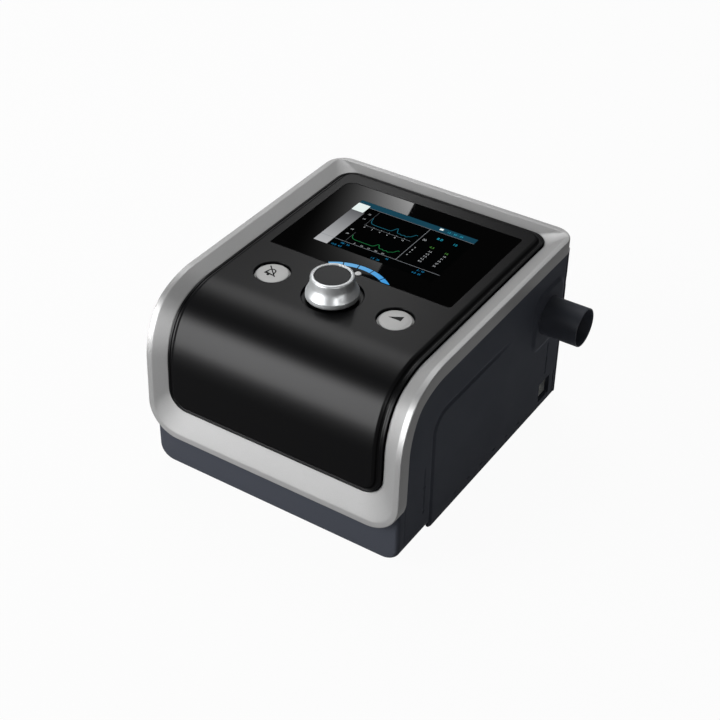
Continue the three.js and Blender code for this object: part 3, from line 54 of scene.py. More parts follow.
bl_info = {
    "name": "Breathing machine",
    "version": (1, 0, 0),
    "blender": (4, 5, 0),
    "location": "3D View > Sidebar > Machine",
    "description": "Builds the visible surfaces, the materials and the stage of a bilevel breathing machine",
    "category": "Object",
}


# Colours and sizes

def linear(code):
    """A colour written as sRGB hex, turned to linear red, green, blue and full alpha."""
    parts = [int(code[i:i + 2], 16) / 255 for i in (1, 3, 5)]
    return tuple(c / 12.92 if c <= 0.04045 else ((c + 0.055) / 1.055) ** 2.4 for c in parts) + (1.0,)


def length(name, description, millimetres):
    """A size that a user can change, held in metres."""
    return bpy.props.FloatProperty(name=name, description=description, default=millimetres / 1000,
                                   unit="LENGTH", precision=5)


def colour(name, description, code):
    """A colour that a user can change."""
    return bpy.props.FloatVectorProperty(name=name, description=description, default=linear(code),
                                         subtype="COLOR", size=4, min=0, max=1)


class MachineSizes(bpy.types.PropertyGroup):
    """Sizes of the pieces that show."""
    frame_width: length("Frame width", "Width of the silver frame", 170.9)
    frame_low_edge: length("Frame lower edge", "Height of the frame's lower edge", 22.75)
    frame_depth: length("Frame depth", "Depth of the frame's side wall", 8.3)
    frame_side_face: length("Frame side face", "Width of the frame's face at the sides", 12.95)
    frame_low_face: length("Frame lower face", "Width of the frame's face at the bottom", 19.3)
    frame_rear_face: length("Frame rear face", "Width of the frame's face at the rear", 8.7)
    frame_facet: length("Frame facet", "Width of the outer facet of the frame's face", 3.7)
    frame_facet_rise: length("Frame facet rise", "How far the facet's outer edge stands over the crest", 0.25)
    frame_low_radius: length("Frame lower corners", "Radius of the frame's lower corners", 20)
    frame_inner_drop: length("Frame inner drop", "How far the frame's inner edge lies below its crest", 4.15)
    cover_gap: length("Cover gap", "Gap between the frame and the black cover", 0.3)
    cover_drop: length("Cover drop", "How far the cover's face lies below the frame's crest", 0.75)
    cover_wall: length("Cover wall", "Thickness of the cover", 2.4)
    cover_border: length("Cover border", "Width of the moulded border round the cover's face", 5.2)
    knob_place: length("Knob place", "Where the knob's axis stands, from the middle to the rear", -32.6)
    knob_well: length("Knob well radius", "Radius of the shallow well round the knob", 17.5)
    knob_height: length("Knob height", "Height of the knob over the deck", 13.4)
    button_spread: length("Button spread", "From the knob's axis to each button's", 41.3)
    button_radius: length("Button radius", "Radius of the two buttons", 9.55)
    button_hole: length("Button hole radius", "Radius of the holes for the buttons", 10.6)
    window_half_width: length("Window half width", "Half the width of the window", 61)
    window_front: length("Window front", "From the knob's axis to the window's front edge", 25.1)
    window_rear: length("Window rear", "From the knob's axis to the window's rear edge", 108.9)
    window_thickness: length("Window thickness", "Thickness of the window's pane", 1.2)
    screen_left: length("Screen left", "From the middle to the lit screen's left edge", -41.8)
    screen_right: length("Screen right", "From the middle to the lit screen's right edge", 39.6)
    screen_front: length("Screen front", "From the knob's axis to the lit screen's front edge", 41.8)
    screen_rear: length("Screen rear", "From the knob's axis to the lit screen's rear edge", 94.3)
    outlet_radius: length("Outlet radius", "Outside radius of the air outlet", 12.1)
    outlet_bore: length("Outlet bore", "Inside radius of the air outlet", 10)


class MachineColours(bpy.types.PropertyGroup):
    """Colours of the pieces that show."""
    silver: colour("Silver paint", "Frame round the cover", "#888888")
    knob: colour("Knob silver", "Knob's shell", "#a0a2a3")
    button: colour("Button silver", "Both buttons", "#c1c1c0")
    cover: colour("Black cover", "Bent cover inside the frame", "#030304")
    housing: colour("Housing", "Shells, apron, rear panel and tray", "#44474f")
    cap: colour("Knob cap", "Dark disc in the knob's top", "#212223")
    symbol: colour("Symbols", "Symbols on the buttons", "#0a0a0b")
    arc_left: colour("Light arc, left", "Glow of the light arc at its left end", "#7db8e2")
    arc_right: colour("Light arc, right", "Glow of the light arc at its right end", "#3a9ae2")
    title_bar: colour("Title bar", "Bar along the top of the screen", "#174152")
    upper_curve: colour("Upper curve", "Upper curve on the screen", "#1f5f70")
    lower_curve: colour("Lower curve", "Lower curve on the screen", "#22703f")
    floor: colour("Floor", "Floor under the machine", "#d8d8d8")


def sizes():
    """Every size in millimetres."""
    group = bpy.context.scene.machine_sizes
    return SimpleNamespace(**{name: 1000 * getattr(group, name) for name in MachineSizes.__annotations__})


def hue(name):
    """One of the colours, as linear red, green, blue and alpha."""
    return tuple(getattr(bpy.context.scene.machine_colours, name))


# Places: the housing's frame, the bent sheet and the deck

HOUSING_HALF, HOUSING_FRONT = 83.7, -92.7    # half the housing's width, and where its front face stands
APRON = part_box("front_apron")
ORIGIN = np.array([(APRON[0][0] + APRON[1][0]) / 2, APRON[0][1] - HOUSING_FRONT / 1000, APRON[0][2]])

# The crest line in the middle of the machine, which the frame's face follows: it leans back up the front,
# bends over in three arcs, and runs to the rear with a slight rise
CREST_FRONT, CREST_REAR, CREST_REAR_HEIGHT = -98.15, 99.8, 114.6
FRONT_LEAN = math.radians(2.3)
TOP_SLOPE = math.radians(0.5)
BEND_RADII = np.array([53.3, 27.8, 55.8])
BEND_HEADINGS = np.array([
    math.pi / 2 - FRONT_LEAN,
    math.pi / 2 - FRONT_LEAN - math.radians(30),
    math.pi / 2 - FRONT_LEAN - math.radians(62),
    TOP_SLOPE,
])
BEND_LENGTHS = BEND_RADII * -np.diff(BEND_HEADINGS)


def node_box(name):
    """A CAD node's lowest and highest corners in the housing's frame."""
    return (np.array(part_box(name)) - ORIGIN) * 1000


def place(points):
    """Millimetres in the housing's frame to metres in the part's frame."""
    return np.asarray(points, dtype=float) / 1000 + ORIGIN


def front_length():
    """Length of the straight front, so that the last bend ends on the line of the top: the height that the
    top line has there, less what the bends rise, over how fast the front rises against that line."""
    sines, cosines = np.sin(BEND_HEADINGS), np.cos(BEND_HEADINGS)
    forward = float(np.sum(BEND_RADII * (sines[:-1] - sines[1:])))
    up = float(np.sum(BEND_RADII * (cosines[1:] - cosines[:-1])))
    slope = math.tan(TOP_SLOPE)
    start = CREST_REAR_HEIGHT - (CREST_REAR - CREST_FRONT - forward) * slope
    return (start - up) / (math.cos(FRONT_LEAN) - math.sin(FRONT_LEAN) * slope)


FRONT_LENGTH = front_length()
BEND_STARTS = FRONT_LENGTH + np.concatenate([[0], np.cumsum(BEND_LENGTHS)])
BEND_END = float(BEND_STARTS[-1])


def crest(distance):
    """Place and heading on the crest line at a distance from its foot: a straight line, three arcs one after
    another, and a straight line. An arc's point is its start plus the radius times the change of the
    heading's sine and cosine."""
    distance = np.asarray(distance, dtype=float)
    first = np.minimum(distance, FRONT_LENGTH)
    y = CREST_FRONT + first * math.cos(BEND_HEADINGS[0])
    z = first * math.sin(BEND_HEADINGS[0])
    heading = np.full_like(distance, BEND_HEADINGS[0])
    for start, span, radius, begin in zip(BEND_STARTS, BEND_LENGTHS, BEND_RADII, BEND_HEADINGS):
        angle = begin - np.clip(distance - start, 0, span) / radius
        y = y + radius * (math.sin(begin) - np.sin(angle))
        z = z + radius * (np.cos(angle) - math.cos(begin))
        heading = np.where(distance > start, angle, heading)
    rest = np.maximum(distance - BEND_END, 0)
    return y + rest * math.cos(TOP_SLOPE), z + rest * math.sin(TOP_SLOPE), heading


def sheet(flat, rise):
    """Points of the bent sheet: across and along in flat, and out from the crest line along its normal."""
    y, z, heading = crest(flat[..., 1])
    return np.stack([flat[..., 0], y - np.sin(heading) * rise, z + np.cos(heading) * rise], axis=-1)


LOW_SHARE = 1 / math.cos(FRONT_LEAN)
FRAME_REAR = BEND_END + (CREST_REAR - float(crest(BEND_END)[0])) / math.cos(TOP_SLOPE)
CORNER_STEPS, BEND_STEPS = 14, 54                # points round a corner, and along a side's bends
REAR_CORNER, OPENING_CORNERS = 13, (12.5, 11.5)  # radii of the frame's rear and its opening's corners


def rounded_flat(half, low, rear, low_radius, rear_radius):
    """A rounded rectangle laid flat on the sheet: quarter circles at the corners, stations through the bends
    along the sides, the right half first and then its mirror image back again."""
    stations = np.concatenate([np.linspace(FRONT_LENGTH, BEND_END, BEND_STEPS), [BEND_END + 1]])
    turn = np.linspace(0, math.pi / 2, CORNER_STEPS)
    low_radius, rear_radius = max(low_radius, 0.2), max(rear_radius, 0.2)
    corner_low = np.stack([half - low_radius + low_radius * np.sin(turn),
                           low + low_radius - low_radius * np.cos(turn)], axis=-1)
    side = np.stack([np.full(len(stations), half), stations], axis=-1)
    corner_rear = np.stack([half - rear_radius + rear_radius * np.cos(turn),
                            rear - rear_radius + rear_radius * np.sin(turn)], axis=-1)
    right = np.concatenate([corner_low, side, corner_rear])
    return np.concatenate([right, right[::-1] * np.array([-1, 1])])


def outlines(mm):
    """The frame's outer outline, its opening and the cover's outline, each as a function of an inset."""
    half, low = mm.frame_width / 2, mm.frame_low_edge * LOW_SHARE
    opening = (half - mm.frame_side_face, low + mm.frame_low_face, FRAME_REAR - mm.frame_rear_face)
    gap, (front_corner, rear_corner) = mm.cover_gap, OPENING_CORNERS

    def inset_of(base_half, base_low, base_rear, low_radius, rear_radius):
        return lambda inset: rounded_flat(base_half - inset, base_low + inset, base_rear - inset,
                                          low_radius - inset, rear_radius - inset)

    return (inset_of(half, low, FRAME_REAR, mm.frame_low_radius, REAR_CORNER),
            inset_of(*opening, *OPENING_CORNERS),
            inset_of(opening[0] - gap, opening[1] + gap, opening[2] - gap,
                     front_corner - gap, rear_corner - gap))


def deck_height(mm):
    """Height of the cover's face at the knob's axis."""
    return CREST_REAR_HEIGHT - (CREST_REAR - mm.knob_place) * math.tan(TOP_SLOPE) - mm.cover_drop


def on_deck(points, mm):
    """From the deck's frame, with its origin at the knob's axis on the cover's face, to the housing's."""
    points = np.asarray(points, dtype=float)
    s, c = math.sin(TOP_SLOPE), math.cos(TOP_SLOPE)
    x, y, z = points[..., 0], points[..., 1], points[..., 2]
    return np.stack([x, mm.knob_place + y * c - z * s, deck_height(mm) + y * s + z * c], axis=-1)


# Meshes

SHARP = math.radians(32)    # a bend over this angle stays a drawn edge


def link(name, data):
    """A new object in the scene."""
    made = bpy.data.objects.new(name, data)
    bpy.context.scene.collection.objects.link(made)
    return made


def finish_mesh(mesh):
    """Welds doubles, turns every face outwards and shades smooth up to an angle."""
    work = bmesh.new()
    work.from_mesh(mesh)
    bmesh.ops.remove_doubles(work, verts=work.verts, dist=1e-7)
    bmesh.ops.recalc_face_normals(work, faces=work.faces)
    work.to_mesh(mesh)
    work.free()
    mesh.shade_smooth()
    mesh.set_sharp_from_angle(angle=SHARP)


def new_piece(name, points, faces):
    """An object from points in the housing's frame and a list of faces."""
    mesh = bpy.data.meshes.new(name)
    mesh.from_pydata(place(points).tolist(), [], [tuple(int(i) for i in f) for f in faces])
    mesh.update()
    finish_mesh(mesh)
    return link(name, mesh)


def band_faces(rows, columns, close_rows, close_columns):
    """Quads of a grid of rows and columns, which may close on itself either way."""
    r = np.arange(rows if close_rows else rows - 1)
    c = np.arange(columns if close_columns else columns - 1)
    r, c = np.meshgrid(r, c, indexing="ij")
    r2, c2 = (r + 1) % rows, (c + 1) % columns
    quads = np.stack([r * columns + c, r * columns + c2, r2 * columns + c2, r2 * columns + c], axis=-1)
    return quads.reshape(-1, 4).tolist()


def loops_piece(name, loops, closed=False, ladder=False):
    """A surface through loops of equal length. It closes on itself, or its end loops are filled by one face,
    or by rungs between their right and left halves."""
    loops = np.asarray(loops)
    rows, columns = loops.shape[:2]
    faces = band_faces(rows, columns, closed, True)
    if not closed:
        for base in (0, (rows - 1) * columns):
            if ladder:
                i = np.arange(columns // 2 - 1)
                j = columns - 1 - i
                faces += np.stack([base + i, base + i + 1, base + j - 1, base + j], axis=-1).tolist()
            else:
                faces.append((base + np.arange(columns)).tolist())
    return new_piece(name, loops.reshape(-1, 3), faces)


def lathe_piece(name, profile, steps, move, loop=False):
    """Radius and height pairs turned round an axis: x is the radius times the cosine of the turn, y times its
    sine. A pair on the axis becomes one point. move carries the points to the housing's frame."""
    profile = np.asarray(profile, dtype=float)
    turn = np.arange(steps) * 2 * math.pi / steps
    rings = np.stack([profile[:, :1] * np.cos(turn), profile[:, :1] * np.sin(turn),
                      np.repeat(profile[:, 1:], steps, axis=1)], axis=-1)
    return loops_piece(name, move(rings), closed=loop)


def deck_turned(name, profile, steps, mm, spot=(0, 0)):
    """A turned piece whose axis stands at a spot of the deck."""
    return lathe_piece(name, profile, steps, lambda points: on_deck(points + np.array([*spot, 0]), mm))


def round_corners(points, radii, steps=5):
    """A polyline's inner corners, each replaced by a piece of a parabola. It touches both sides where a
    circle of the corner's radius would, or just before the middle of the shorter side."""
    points = np.asarray(points, dtype=float)
    out = [points[0]]
    for before, corner, after, radius in zip(points[:-2], points[1:-1], points[2:], radii):
        a, b = before - corner, after - corner
        la, lb = np.linalg.norm(a), np.linalg.norm(b)
        a, b = a / la, b / lb
        half = math.acos(np.clip(np.dot(a, b), -1, 1)) / 2
        reach = min(radius / max(math.tan(half), 1e-6), la * 0.49, lb * 0.49)
        if radius <= 0 or reach < 1e-6 or math.pi / 2 - half < 1e-3:
            out.append(corner)
            continue
        t = np.linspace(0, 1, steps + 1)[:, None]
        start, end = corner + a * reach, corner + b * reach
        out.extend((1 - t) ** 2 * start + 2 * t * (1 - t) * corner + t ** 2 * end)
    out.append(points[-1])
    return np.array(out)


def offset_outline(outline, inset):
    """A closed outline moved inwards: each point goes along the mean of its two sides' normals."""
    if inset == 0:
        return outline
    ahead = np.roll(outline, -1, axis=0) - outline
    ahead /= np.linalg.norm(ahead, axis=1, keepdims=True)
    back = np.roll(ahead, 1, axis=0)
    normal = np.stack([-(ahead + back)[:, 1], (ahead + back)[:, 0]], axis=-1)
    share = np.maximum((normal ** 2).sum(axis=1, keepdims=True) / 2, 0.3)
    return outline + normal / share * inset


def slab_loops(outline, low, high, edge=0.0):
    """Loops up the side of a slab whose top edge is rounded by a quarter circle."""
    loops = [np.column_stack([outline, np.full(len(outline), low)])]
    if edge <= 0:
        loops.append(np.column_stack([outline, np.full(len(outline), high)]))
        return np.array(loops)
    for turn in np.linspace(0, math.pi / 2, 4):
        flat = offset_outline(outline, edge * (1 - math.cos(turn)))
        loops.append(np.column_stack([flat, np.full(len(flat), high - edge + edge * math.sin(turn))]))
    return np.array(loops)


def arc_points(centre, radius, start, end, steps):
    """Points on a circle from one angle in degrees to another."""
    turn = np.radians(np.linspace(start, end, steps))
    return np.stack([centre[0] + radius * np.cos(turn), centre[1] + radius * np.sin(turn)], axis=-1)


def rounded_box(x0, y0, x1, y1, radii):
    """A rectangle with its own radius at each corner, from the front right one anticlockwise."""
    a, b, c, d = radii
    return np.concatenate([
        arc_points((x1 - a, y0 + a), a, -90, 0, 8),
        arc_points((x1 - b, y1 - b), b, 0, 90, 8),
        arc_points((x0 + c, y1 - c), c, 90, 180, 8),
        arc_points((x0 + d, y0 + d), d, 180, 270, 8),
    ])


def flatten(piece):
    """Lets the large flat faces rule the shading, so that they mirror as flat ones do."""
    weights = piece.modifiers.new("weights", "WEIGHTED_NORMAL")
    weights.keep_sharp = True
    return piece


def cut(piece, cutters, operation="DIFFERENCE"):
    """Takes the cutters out of a piece, or adds them to it, and removes them."""
    for cutter in cutters:
        modifier = piece.modifiers.new("cut", "BOOLEAN")
        modifier.object = cutter
        modifier.operation = operation
        modifier.solver = "MANIFOLD"
    graph = bpy.context.evaluated_depsgraph_get()
    mesh = bpy.data.meshes.new_from_object(piece.evaluated_get(graph))
    piece.modifiers.clear()
    piece.data = mesh
    for cutter in cutters:
        bpy.data.objects.remove(cutter)
    finish_mesh(mesh)
    return flatten(piece)


def join(name, pieces):
    """Several new pieces as one of the given name."""
    whole = pieces[0]
    if len(pieces) > 1:
        with bpy.context.temp_override(active_object=whole, object=whole, selected_objects=pieces,
                                       selected_editable_objects=pieces):
            bpy.ops.object.join()
    whole.name = whole.data.name = name
    return whole


# Materials

def add(tree, kind, sockets=None, **settings):
    """Adds a shader node, sets its properties, and gives each named socket its link or its value."""
    node = tree.nodes.new(kind)
    for key, value in settings.items():
        setattr(node, key, value)
    for key, value in (sockets or {}).items():
        if isinstance(value, bpy.types.NodeSocket):
            tree.links.new(value, node.inputs[key])
        else:
            node.inputs[key].default_value = value
    return node


def material(name, base, roughness, sockets=None):
    """A new material with one Principled shader, and its tree. More of the shader's sockets may be given."""
    made = bpy.data.materials.new(name)
    made.use_nodes = True
    shader = made.node_tree.nodes["Principled BSDF"]
    for socket, value in {"Base Color": base, "Roughness": roughness, **(sockets or {})}.items():
        shader.inputs[socket].default_value = value
    return made, made.node_tree, shader


def shade(base, factor, lift=0.0):
    """A colour made lighter or darker by a factor, and lifted by a little."""
    return tuple(min(1.0, c * factor + lift) for c in base[:3]) + (1.0,)


def grained(name, base, roughness, sockets, millimetres, depth, spread, edge=0.0):
    """A material with a cast or sprayed grain: noise whose cells are of the given size lifts the surface and
    shifts its colour a little, and wider patches shift its roughness. Drawn edges are rounded by the edge's
    millimetres."""
    made, tree, shader = material(name, base, roughness, sockets)
    spot = add(tree, "ShaderNodeTexCoord").outputs["Object"]
    noise = add(tree, "ShaderNodeTexNoise", {
        "Vector": spot, "Scale": 1000 / millimetres, "Detail": 3.0, "Roughness": 0.55}).outputs["Fac"]
    bump = add(tree, "ShaderNodeBump", {"Height": noise, "Strength": depth, "Distance": 0.0001})
    tree.links.new(bump.outputs["Normal"], shader.inputs["Normal"])
    patches = add(tree, "ShaderNodeTexNoise", {"Vector": spot, "Scale": 60.0, "Detail": 2.0})
    ramp = add(tree, "ShaderNodeMapRange", {
        "Value": patches.outputs["Fac"], "From Min": 0.3, "From Max": 0.7,
        "To Min": roughness - spread, "To Max": roughness + spread})
    tree.links.new(ramp.outputs["Result"], shader.inputs["Roughness"])
    tint = add(tree, "ShaderNodeMix", {
        "Factor": noise, "A": shade(base, 0.9), "B": shade(base, 1.12, 0.0004)}, data_type="RGBA")
    tree.links.new(tint.outputs["Result"], shader.inputs["Base Color"])
    if edge:
        bevel = add(tree, "ShaderNodeBevel", {"Radius": edge / 1000}, samples=4)
        tree.links.new(bevel.outputs["Normal"], bump.inputs["Normal"])
    return made


def silver_paint():
    """Silver-painted ABS: a satin metallic paint, whose flakes give a faint sparkle and a soft wide
    highlight."""
    return grained("silver painted ABS", hue("silver"), 0.45,
                   {"Metallic": 0.15, "Specular IOR Level": 0.02}, 0.35, 0.12, 0.02)


def knob_plating():
    """Satin chrome plating on a moulded knob: brighter and tighter highlights than the frame's paint."""
    return grained("satin chrome plating", hue("knob"), 0.35,
                   {"Metallic": 0.2, "Specular IOR Level": 0.06}, 0.3, 0.05, 0.02)


def button_paint():
    """Silver-painted button caps: a dull fine-grained paint, lighter than the frame."""
    return grained("silver painted caps", hue("button"), 0.45,
                   {"Specular IOR Level": 0.0, "Coat Weight": 0.2, "Coat Roughness": 0.4}, 0.3, 0.15, 0.02)


def button_ink():
    """Black pad printing: flat dull ink over the button's paint."""
    return grained("black pad printing", hue("symbol"), 0.5, {"Specular IOR Level": 0.02}, 0.3, 0.1, 0.03)


def black_cover_plastic():
    """Satin black ABS: a fine spark-eroded grain spreads the studio lamp into one broad grey band."""
    return grained("satin black ABS", hue("cover"), 0.34,
                   {"Specular IOR Level": 0.0, "Coat Weight": 0.075, "Coat Roughness": 0.34},
                   0.25, 0.1, 0.015)


def disc_plastic():
    """Dark ABS with an eroded texture, for the knob's disc: a wide dull sheen over a coarse grain."""
    return grained("dark textured ABS", hue("cap"), 0.5,
                   {"Specular IOR Level": 0.0, "Coat Weight": 0.11, "Coat Roughness": 0.5}, 0.45, 0.35, 0.03)


def housing_plastic():
    """Blue-grey ABS with an eroded texture: matt, with a slight mottling at half a millimetre."""
    return grained("textured blue-grey ABS", hue("housing"), 0.6, {"Specular IOR Level": 0.015},
                   0.5, 0.25, 0.03, edge=0.5)


def cuff_plastic(rough):
    """The housing's ABS where it is turned smooth for the hose's cuff, so that it has more sheen."""
    made = rough.copy()
    made.name = "smooth blue-grey ABS"
    shader = made.node_tree.nodes["Principled BSDF"]
    shader.inputs["Coat Weight"].default_value = 0.09
    shader.inputs["Coat Roughness"].default_value = 0.42
    return made


def plain_plastic(name, code, roughness):
    """Moulded plastic with a fine grain, for the pieces inside and for small fittings."""
    return grained(name, linear(code), roughness, {"IOR": 1.53}, 0.5, 0.2, 0.03, edge=0.3)


def soft_rubber():
    """Black moulded rubber: dull, with a dusty mottled surface."""
    return grained("black rubber", linear("#1b1b1c"), 0.8, {"Specular IOR Level": 0.25, "IOR": 1.52},
                   0.8, 0.4, 0.05)


def screen_glass():
    """Unlit screen glass: near black and matt, because the window over it gives the gloss."""
    return grained("unlit screen glass", linear("#040505"), 0.5, {"Specular IOR Level": 0.0}, 0.6, 0.03, 0.02)


def bare_steel():
    """Rolled steel: streaks along its length, a dozen times as long as wide, break up the shine."""
    made, tree, shader = material("rolled steel", linear("#a7aaad"), 0.34, {"Metallic": 1.0})
    spot = add(tree, "ShaderNodeTexCoord").outputs["Object"]
    stretch = add(tree, "ShaderNodeMapping", {"Vector": spot, "Scale": (1.0, 12.0, 12.0)})
    noise = add(tree, "ShaderNodeTexNoise", {
        "Vector": stretch.outputs["Vector"], "Scale": 180.0, "Detail": 4.0})
    ramp = add(tree, "ShaderNodeMapRange", {"Value": noise.outputs["Fac"], "To Min": 0.26, "To Max": 0.44})
    tree.links.new(ramp.outputs["Result"], shader.inputs["Roughness"])
    bevel = add(tree, "ShaderNodeBevel", {"Radius": 0.0002}, samples=4)
    tree.links.new(bevel.outputs["Normal"], shader.inputs["Normal"])
    return made


def circuit_board():
    """Green solder resist over copper: straight lighter tracks in blocks of about three millimetres."""
    dark = linear("#134427")
    made, tree, shader = material("green solder resist", dark, 0.35)
    spot = add(tree, "ShaderNodeTexCoord").outputs["Object"]
    tracks = add(tree, "ShaderNodeTexBrick", {
        "Vector": spot, "Scale": 330.0, "Mortar Size": 0.06, "Mortar": linear("#2f6f44"),
        "Color1": dark, "Color2": shade(dark, 1.2)})
    tree.links.new(tracks.outputs["Color"], shader.inputs["Base Color"])
    return made


def open_foam():
    """Open-cell polyurethane foam: a grey web with pores of about a millimetre, darkened towards their
    middles by painted shade.
    """
    made, tree, shader = material("open-cell foam", linear("#4b4c4e"), 0.95, {"Specular IOR Level": 0.1})
    spot = add(tree, "ShaderNodeTexCoord").outputs["Object"]
    cells = add(tree, "ShaderNodeTexVoronoi", {"Vector": spot, "Scale": 900.0})
    # Painted shade: the colour darkens towards each pore's middle, where the bump below sinks into a hollow
    mix = add(tree, "ShaderNodeMix", {
        "Factor": cells.outputs["Distance"], "A": linear("#1e1f20"), "B": linear("#6a6b6d"),
    }, data_type="RGBA")
    tree.links.new(mix.outputs["Result"], shader.inputs["Base Color"])
    bump = add(tree, "ShaderNodeBump", {
        "Height": cells.outputs["Distance"], "Strength": 0.7, "Distance": 0.0006})
    tree.links.new(bump.outputs["Normal"], shader.inputs["Normal"])
    return made


def backed_acrylic():
    """Polished acrylic printed black on its back, with an anti-glare coat: deep black, and of all that stands
    round it only lamps show in its face."""
    made, tree, shader = material("black-backed acrylic", linear("#020202"), 0.3, {
        "Specular IOR Level": 0.0, "Coat Weight": 0.0156})
    spot = add(tree, "ShaderNodeTexCoord").outputs["Object"]
    noise = add(tree, "ShaderNodeTexNoise", {"Vector": spot, "Scale": 40.0, "Detail": 1.0})
    ramp = add(tree, "ShaderNodeMapRange", {"Value": noise.outputs["Fac"], "To Min": 0.015, "To Max": 0.025})
    tree.links.new(ramp.outputs["Result"], shader.inputs["Coat Roughness"])
    return made


def glow(name, base, strength, unlit=0.2, run=None):
    """A lit area, which glows evenly but for a faint unevenness of the light guide. Where a run is given, its
    glow goes from one colour to another along X or Y instead. The run is that way, its start and its stop in
    metres, and the two colours."""
    made, tree, shader = material(name, shade(base, unlit), 0.4, {
        "Specular IOR Level": 0.0, "Emission Strength": strength})
    spot = add(tree, "ShaderNodeTexCoord").outputs["Object"]
    if run:
        way, start, stop, first, last = run
        split = add(tree, "ShaderNodeSeparateXYZ", {"Vector": spot})
        share = add(tree, "ShaderNodeMapRange", {
            "Value": split.outputs[way], "From Min": start, "From Max": stop}).outputs["Result"]
    else:
        first, last = shade(base, 0.92), shade(base, 1.06)
        share = add(tree, "ShaderNodeTexNoise", {
            "Vector": spot, "Scale": 150.0, "Detail": 1.0}).outputs["Fac"]
    mix = add(tree, "ShaderNodeMix", {"Factor": share, "A": first, "B": last}, data_type="RGBA")
    tree.links.new(mix.outputs["Result"], shader.inputs["Emission Color"])
    return made


def dress(piece, body, made, slot, *nodes):
    """Rides a new piece on a body, gives it its finish and lets it stand for CAD nodes."""
    piece.data.materials.clear()
    piece.data.materials.append(made)
    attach(piece, body)
    if nodes:
        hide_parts(*nodes)


def finish_nodes(names, made):
    """Gives CAD nodes a better material."""
    for name in names:
        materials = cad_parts[name].data.materials
        materials.clear()
        materials.append(made)


# Pieces

class MACHINE_OT_silver_frame(bpy.types.Operator):
    """The bent silver frame: a channel section carried round the sheet"""
    bl_idname = "machine.silver_frame"
    bl_label = "Silver frame"

    def execute(self, context):
        mm = sizes()
        outer, opening, _ = outlines(mm)
        facet, rise = mm.frame_facet, mm.frame_facet_rise
        depth, drop, lip, wall = mm.frame_depth, mm.frame_inner_drop, 6.5, 2.0
        chamfer, overlap, crest_corner, softness = 0.4, 0.45, 5, 0.12
        skin = round_corners([(0, -depth), (0, rise - chamfer), (chamfer, rise), (facet / 2, rise / 2)],
                             [0.35, 0.35], 4)[:-1]
        loops = [sheet(outer(inset), level) for inset, level in skin]
        half, low = mm.frame_width / 2, mm.frame_low_edge * LOW_SHARE
        start = rounded_flat(half - facet, low + facet, FRAME_REAR - facet, mm.frame_low_radius - facet,
                             crest_corner)
        end = opening(-overlap)
        fall = drop - overlap
        ends = (start + (outer(chamfer) - start) * softness, start, start + (end - start) * softness / 2)
        rises = (rise * softness, 0, -fall * softness / 2)
        for t in np.linspace(0, 1, 6):
            weights = ((1 - t) ** 2, 2 * t * (1 - t), t ** 2)
            flat = sum(w * line for w, line in zip(weights, ends))
            loops.append(sheet(flat, sum(w * level for w, level in zip(weights, rises))))
        for share in (0.2, 0.4, 0.6, 0.8, 0.92, 0.98):
            loops.append(sheet(start + (end - start) * share, -fall * share))
        inner = round_corners([(-0.6, -drop + 0.5), (0, -drop), (0, -lip)], [0.45], 4)
        back = [(-wall, -lip), (-wall, -drop - wall / 2)]
        loops += [sheet(opening(inset), level) for inset, level in [*inner, *back]]
        flange = [(facet, -wall), (wall, -wall - 0.5), (wall, -depth)]
        loops += [sheet(outer(inset), level) for inset, level in flange]
        piece = loops_piece("silver_frame_skin", loops, closed=True)
        dress(piece, "machine", silver_paint(), "silver", "silver_frame")
        return {"FINISHED"}


# What stands on the deck

ARC_OUTER, ARC_INNER, ARC_FRONT = 33.5, 30.2, 25.75    # radii of the light arc, and where it is cut off
WINDOW_CORNERS = (2.5, 1.5, 6, 0.9)    # radii at the front right, rear right, rear left and front left
SCREEN_CORNER = 0.3
LENS_PLACE = (0, 25.9)    # the small lamp between the knob and the arc
ABOVE = 2                 # how far a cutter stands over what it cuts


def arc_outline(grow):
    """The light arc: a ring about the knob's axis between two radii, cut off straight along the window's
    front edge, with rounded tips."""
    outer, inner, front = ARC_OUTER + grow, ARC_INNER - grow, ARC_FRONT - grow
    reach_out, reach_in = math.degrees(math.acos(front / outer)), math.degrees(math.acos(front / inner))
    outer_tip, inner_tip = reach_out - 1.4, reach_in - 1
    outside = arc_points((0, 0), outer, 90 - outer_tip, 90 + outer_tip, 72)
    inside = arc_points((0, 0), inner, 90 + inner_tip, 90 - inner_tip, 60)
    tips = []
    for way, far, near in ((1, outside[-1][0], inside[0][0]), (-1, outside[0][0], inside[-1][0])):
        tips.append([(far + way * 0.15, front + 0.25), (far + way * 0.55, front), (near - way * 0.3, front)])
    return np.concatenate([outside, tips[0], inside, tips[1][::-1]])


def window_outline(mm, grow):
    """The window's outline, anticlockwise from the front right corner."""
    half, front, rear = mm.window_half_width + grow, mm.window_front - grow, mm.window_rear + grow
    return rounded_box(-half, front, half, rear, [radius + grow for radius in WINDOW_CORNERS])


def screen_outline(mm, grow, corner=SCREEN_CORNER):
    """The lit screen's outline, made larger all round."""
    return rounded_box(mm.screen_left - grow, mm.screen_front - grow, mm.screen_right + grow,
                       mm.screen_rear + grow, [corner] * 4)


def deck_slab(name, outline, low, high, mm, edge=0.0):
    """A slab of an outline in the deck's frame."""
    piece = loops_piece(name, on_deck(slab_loops(outline, low, high, edge), mm))
    return flatten(piece) if edge else piece


def hole_cutter(name, radius, low, spot, mm, rim):
    """A round cutter whose mouth flares by a quarter circle, to leave a rounded rim."""
    turn = np.linspace(0, math.pi / 2, 5)
    mouth = [(radius + rim * (1 - math.cos(t)), -rim + rim * math.sin(t)) for t in turn]
    profile = [(0, low), (radius, low)] + mouth + [(radius + rim, ABOVE), (0, ABOVE)]
    return deck_turned(name, profile, 96, mm, spot)


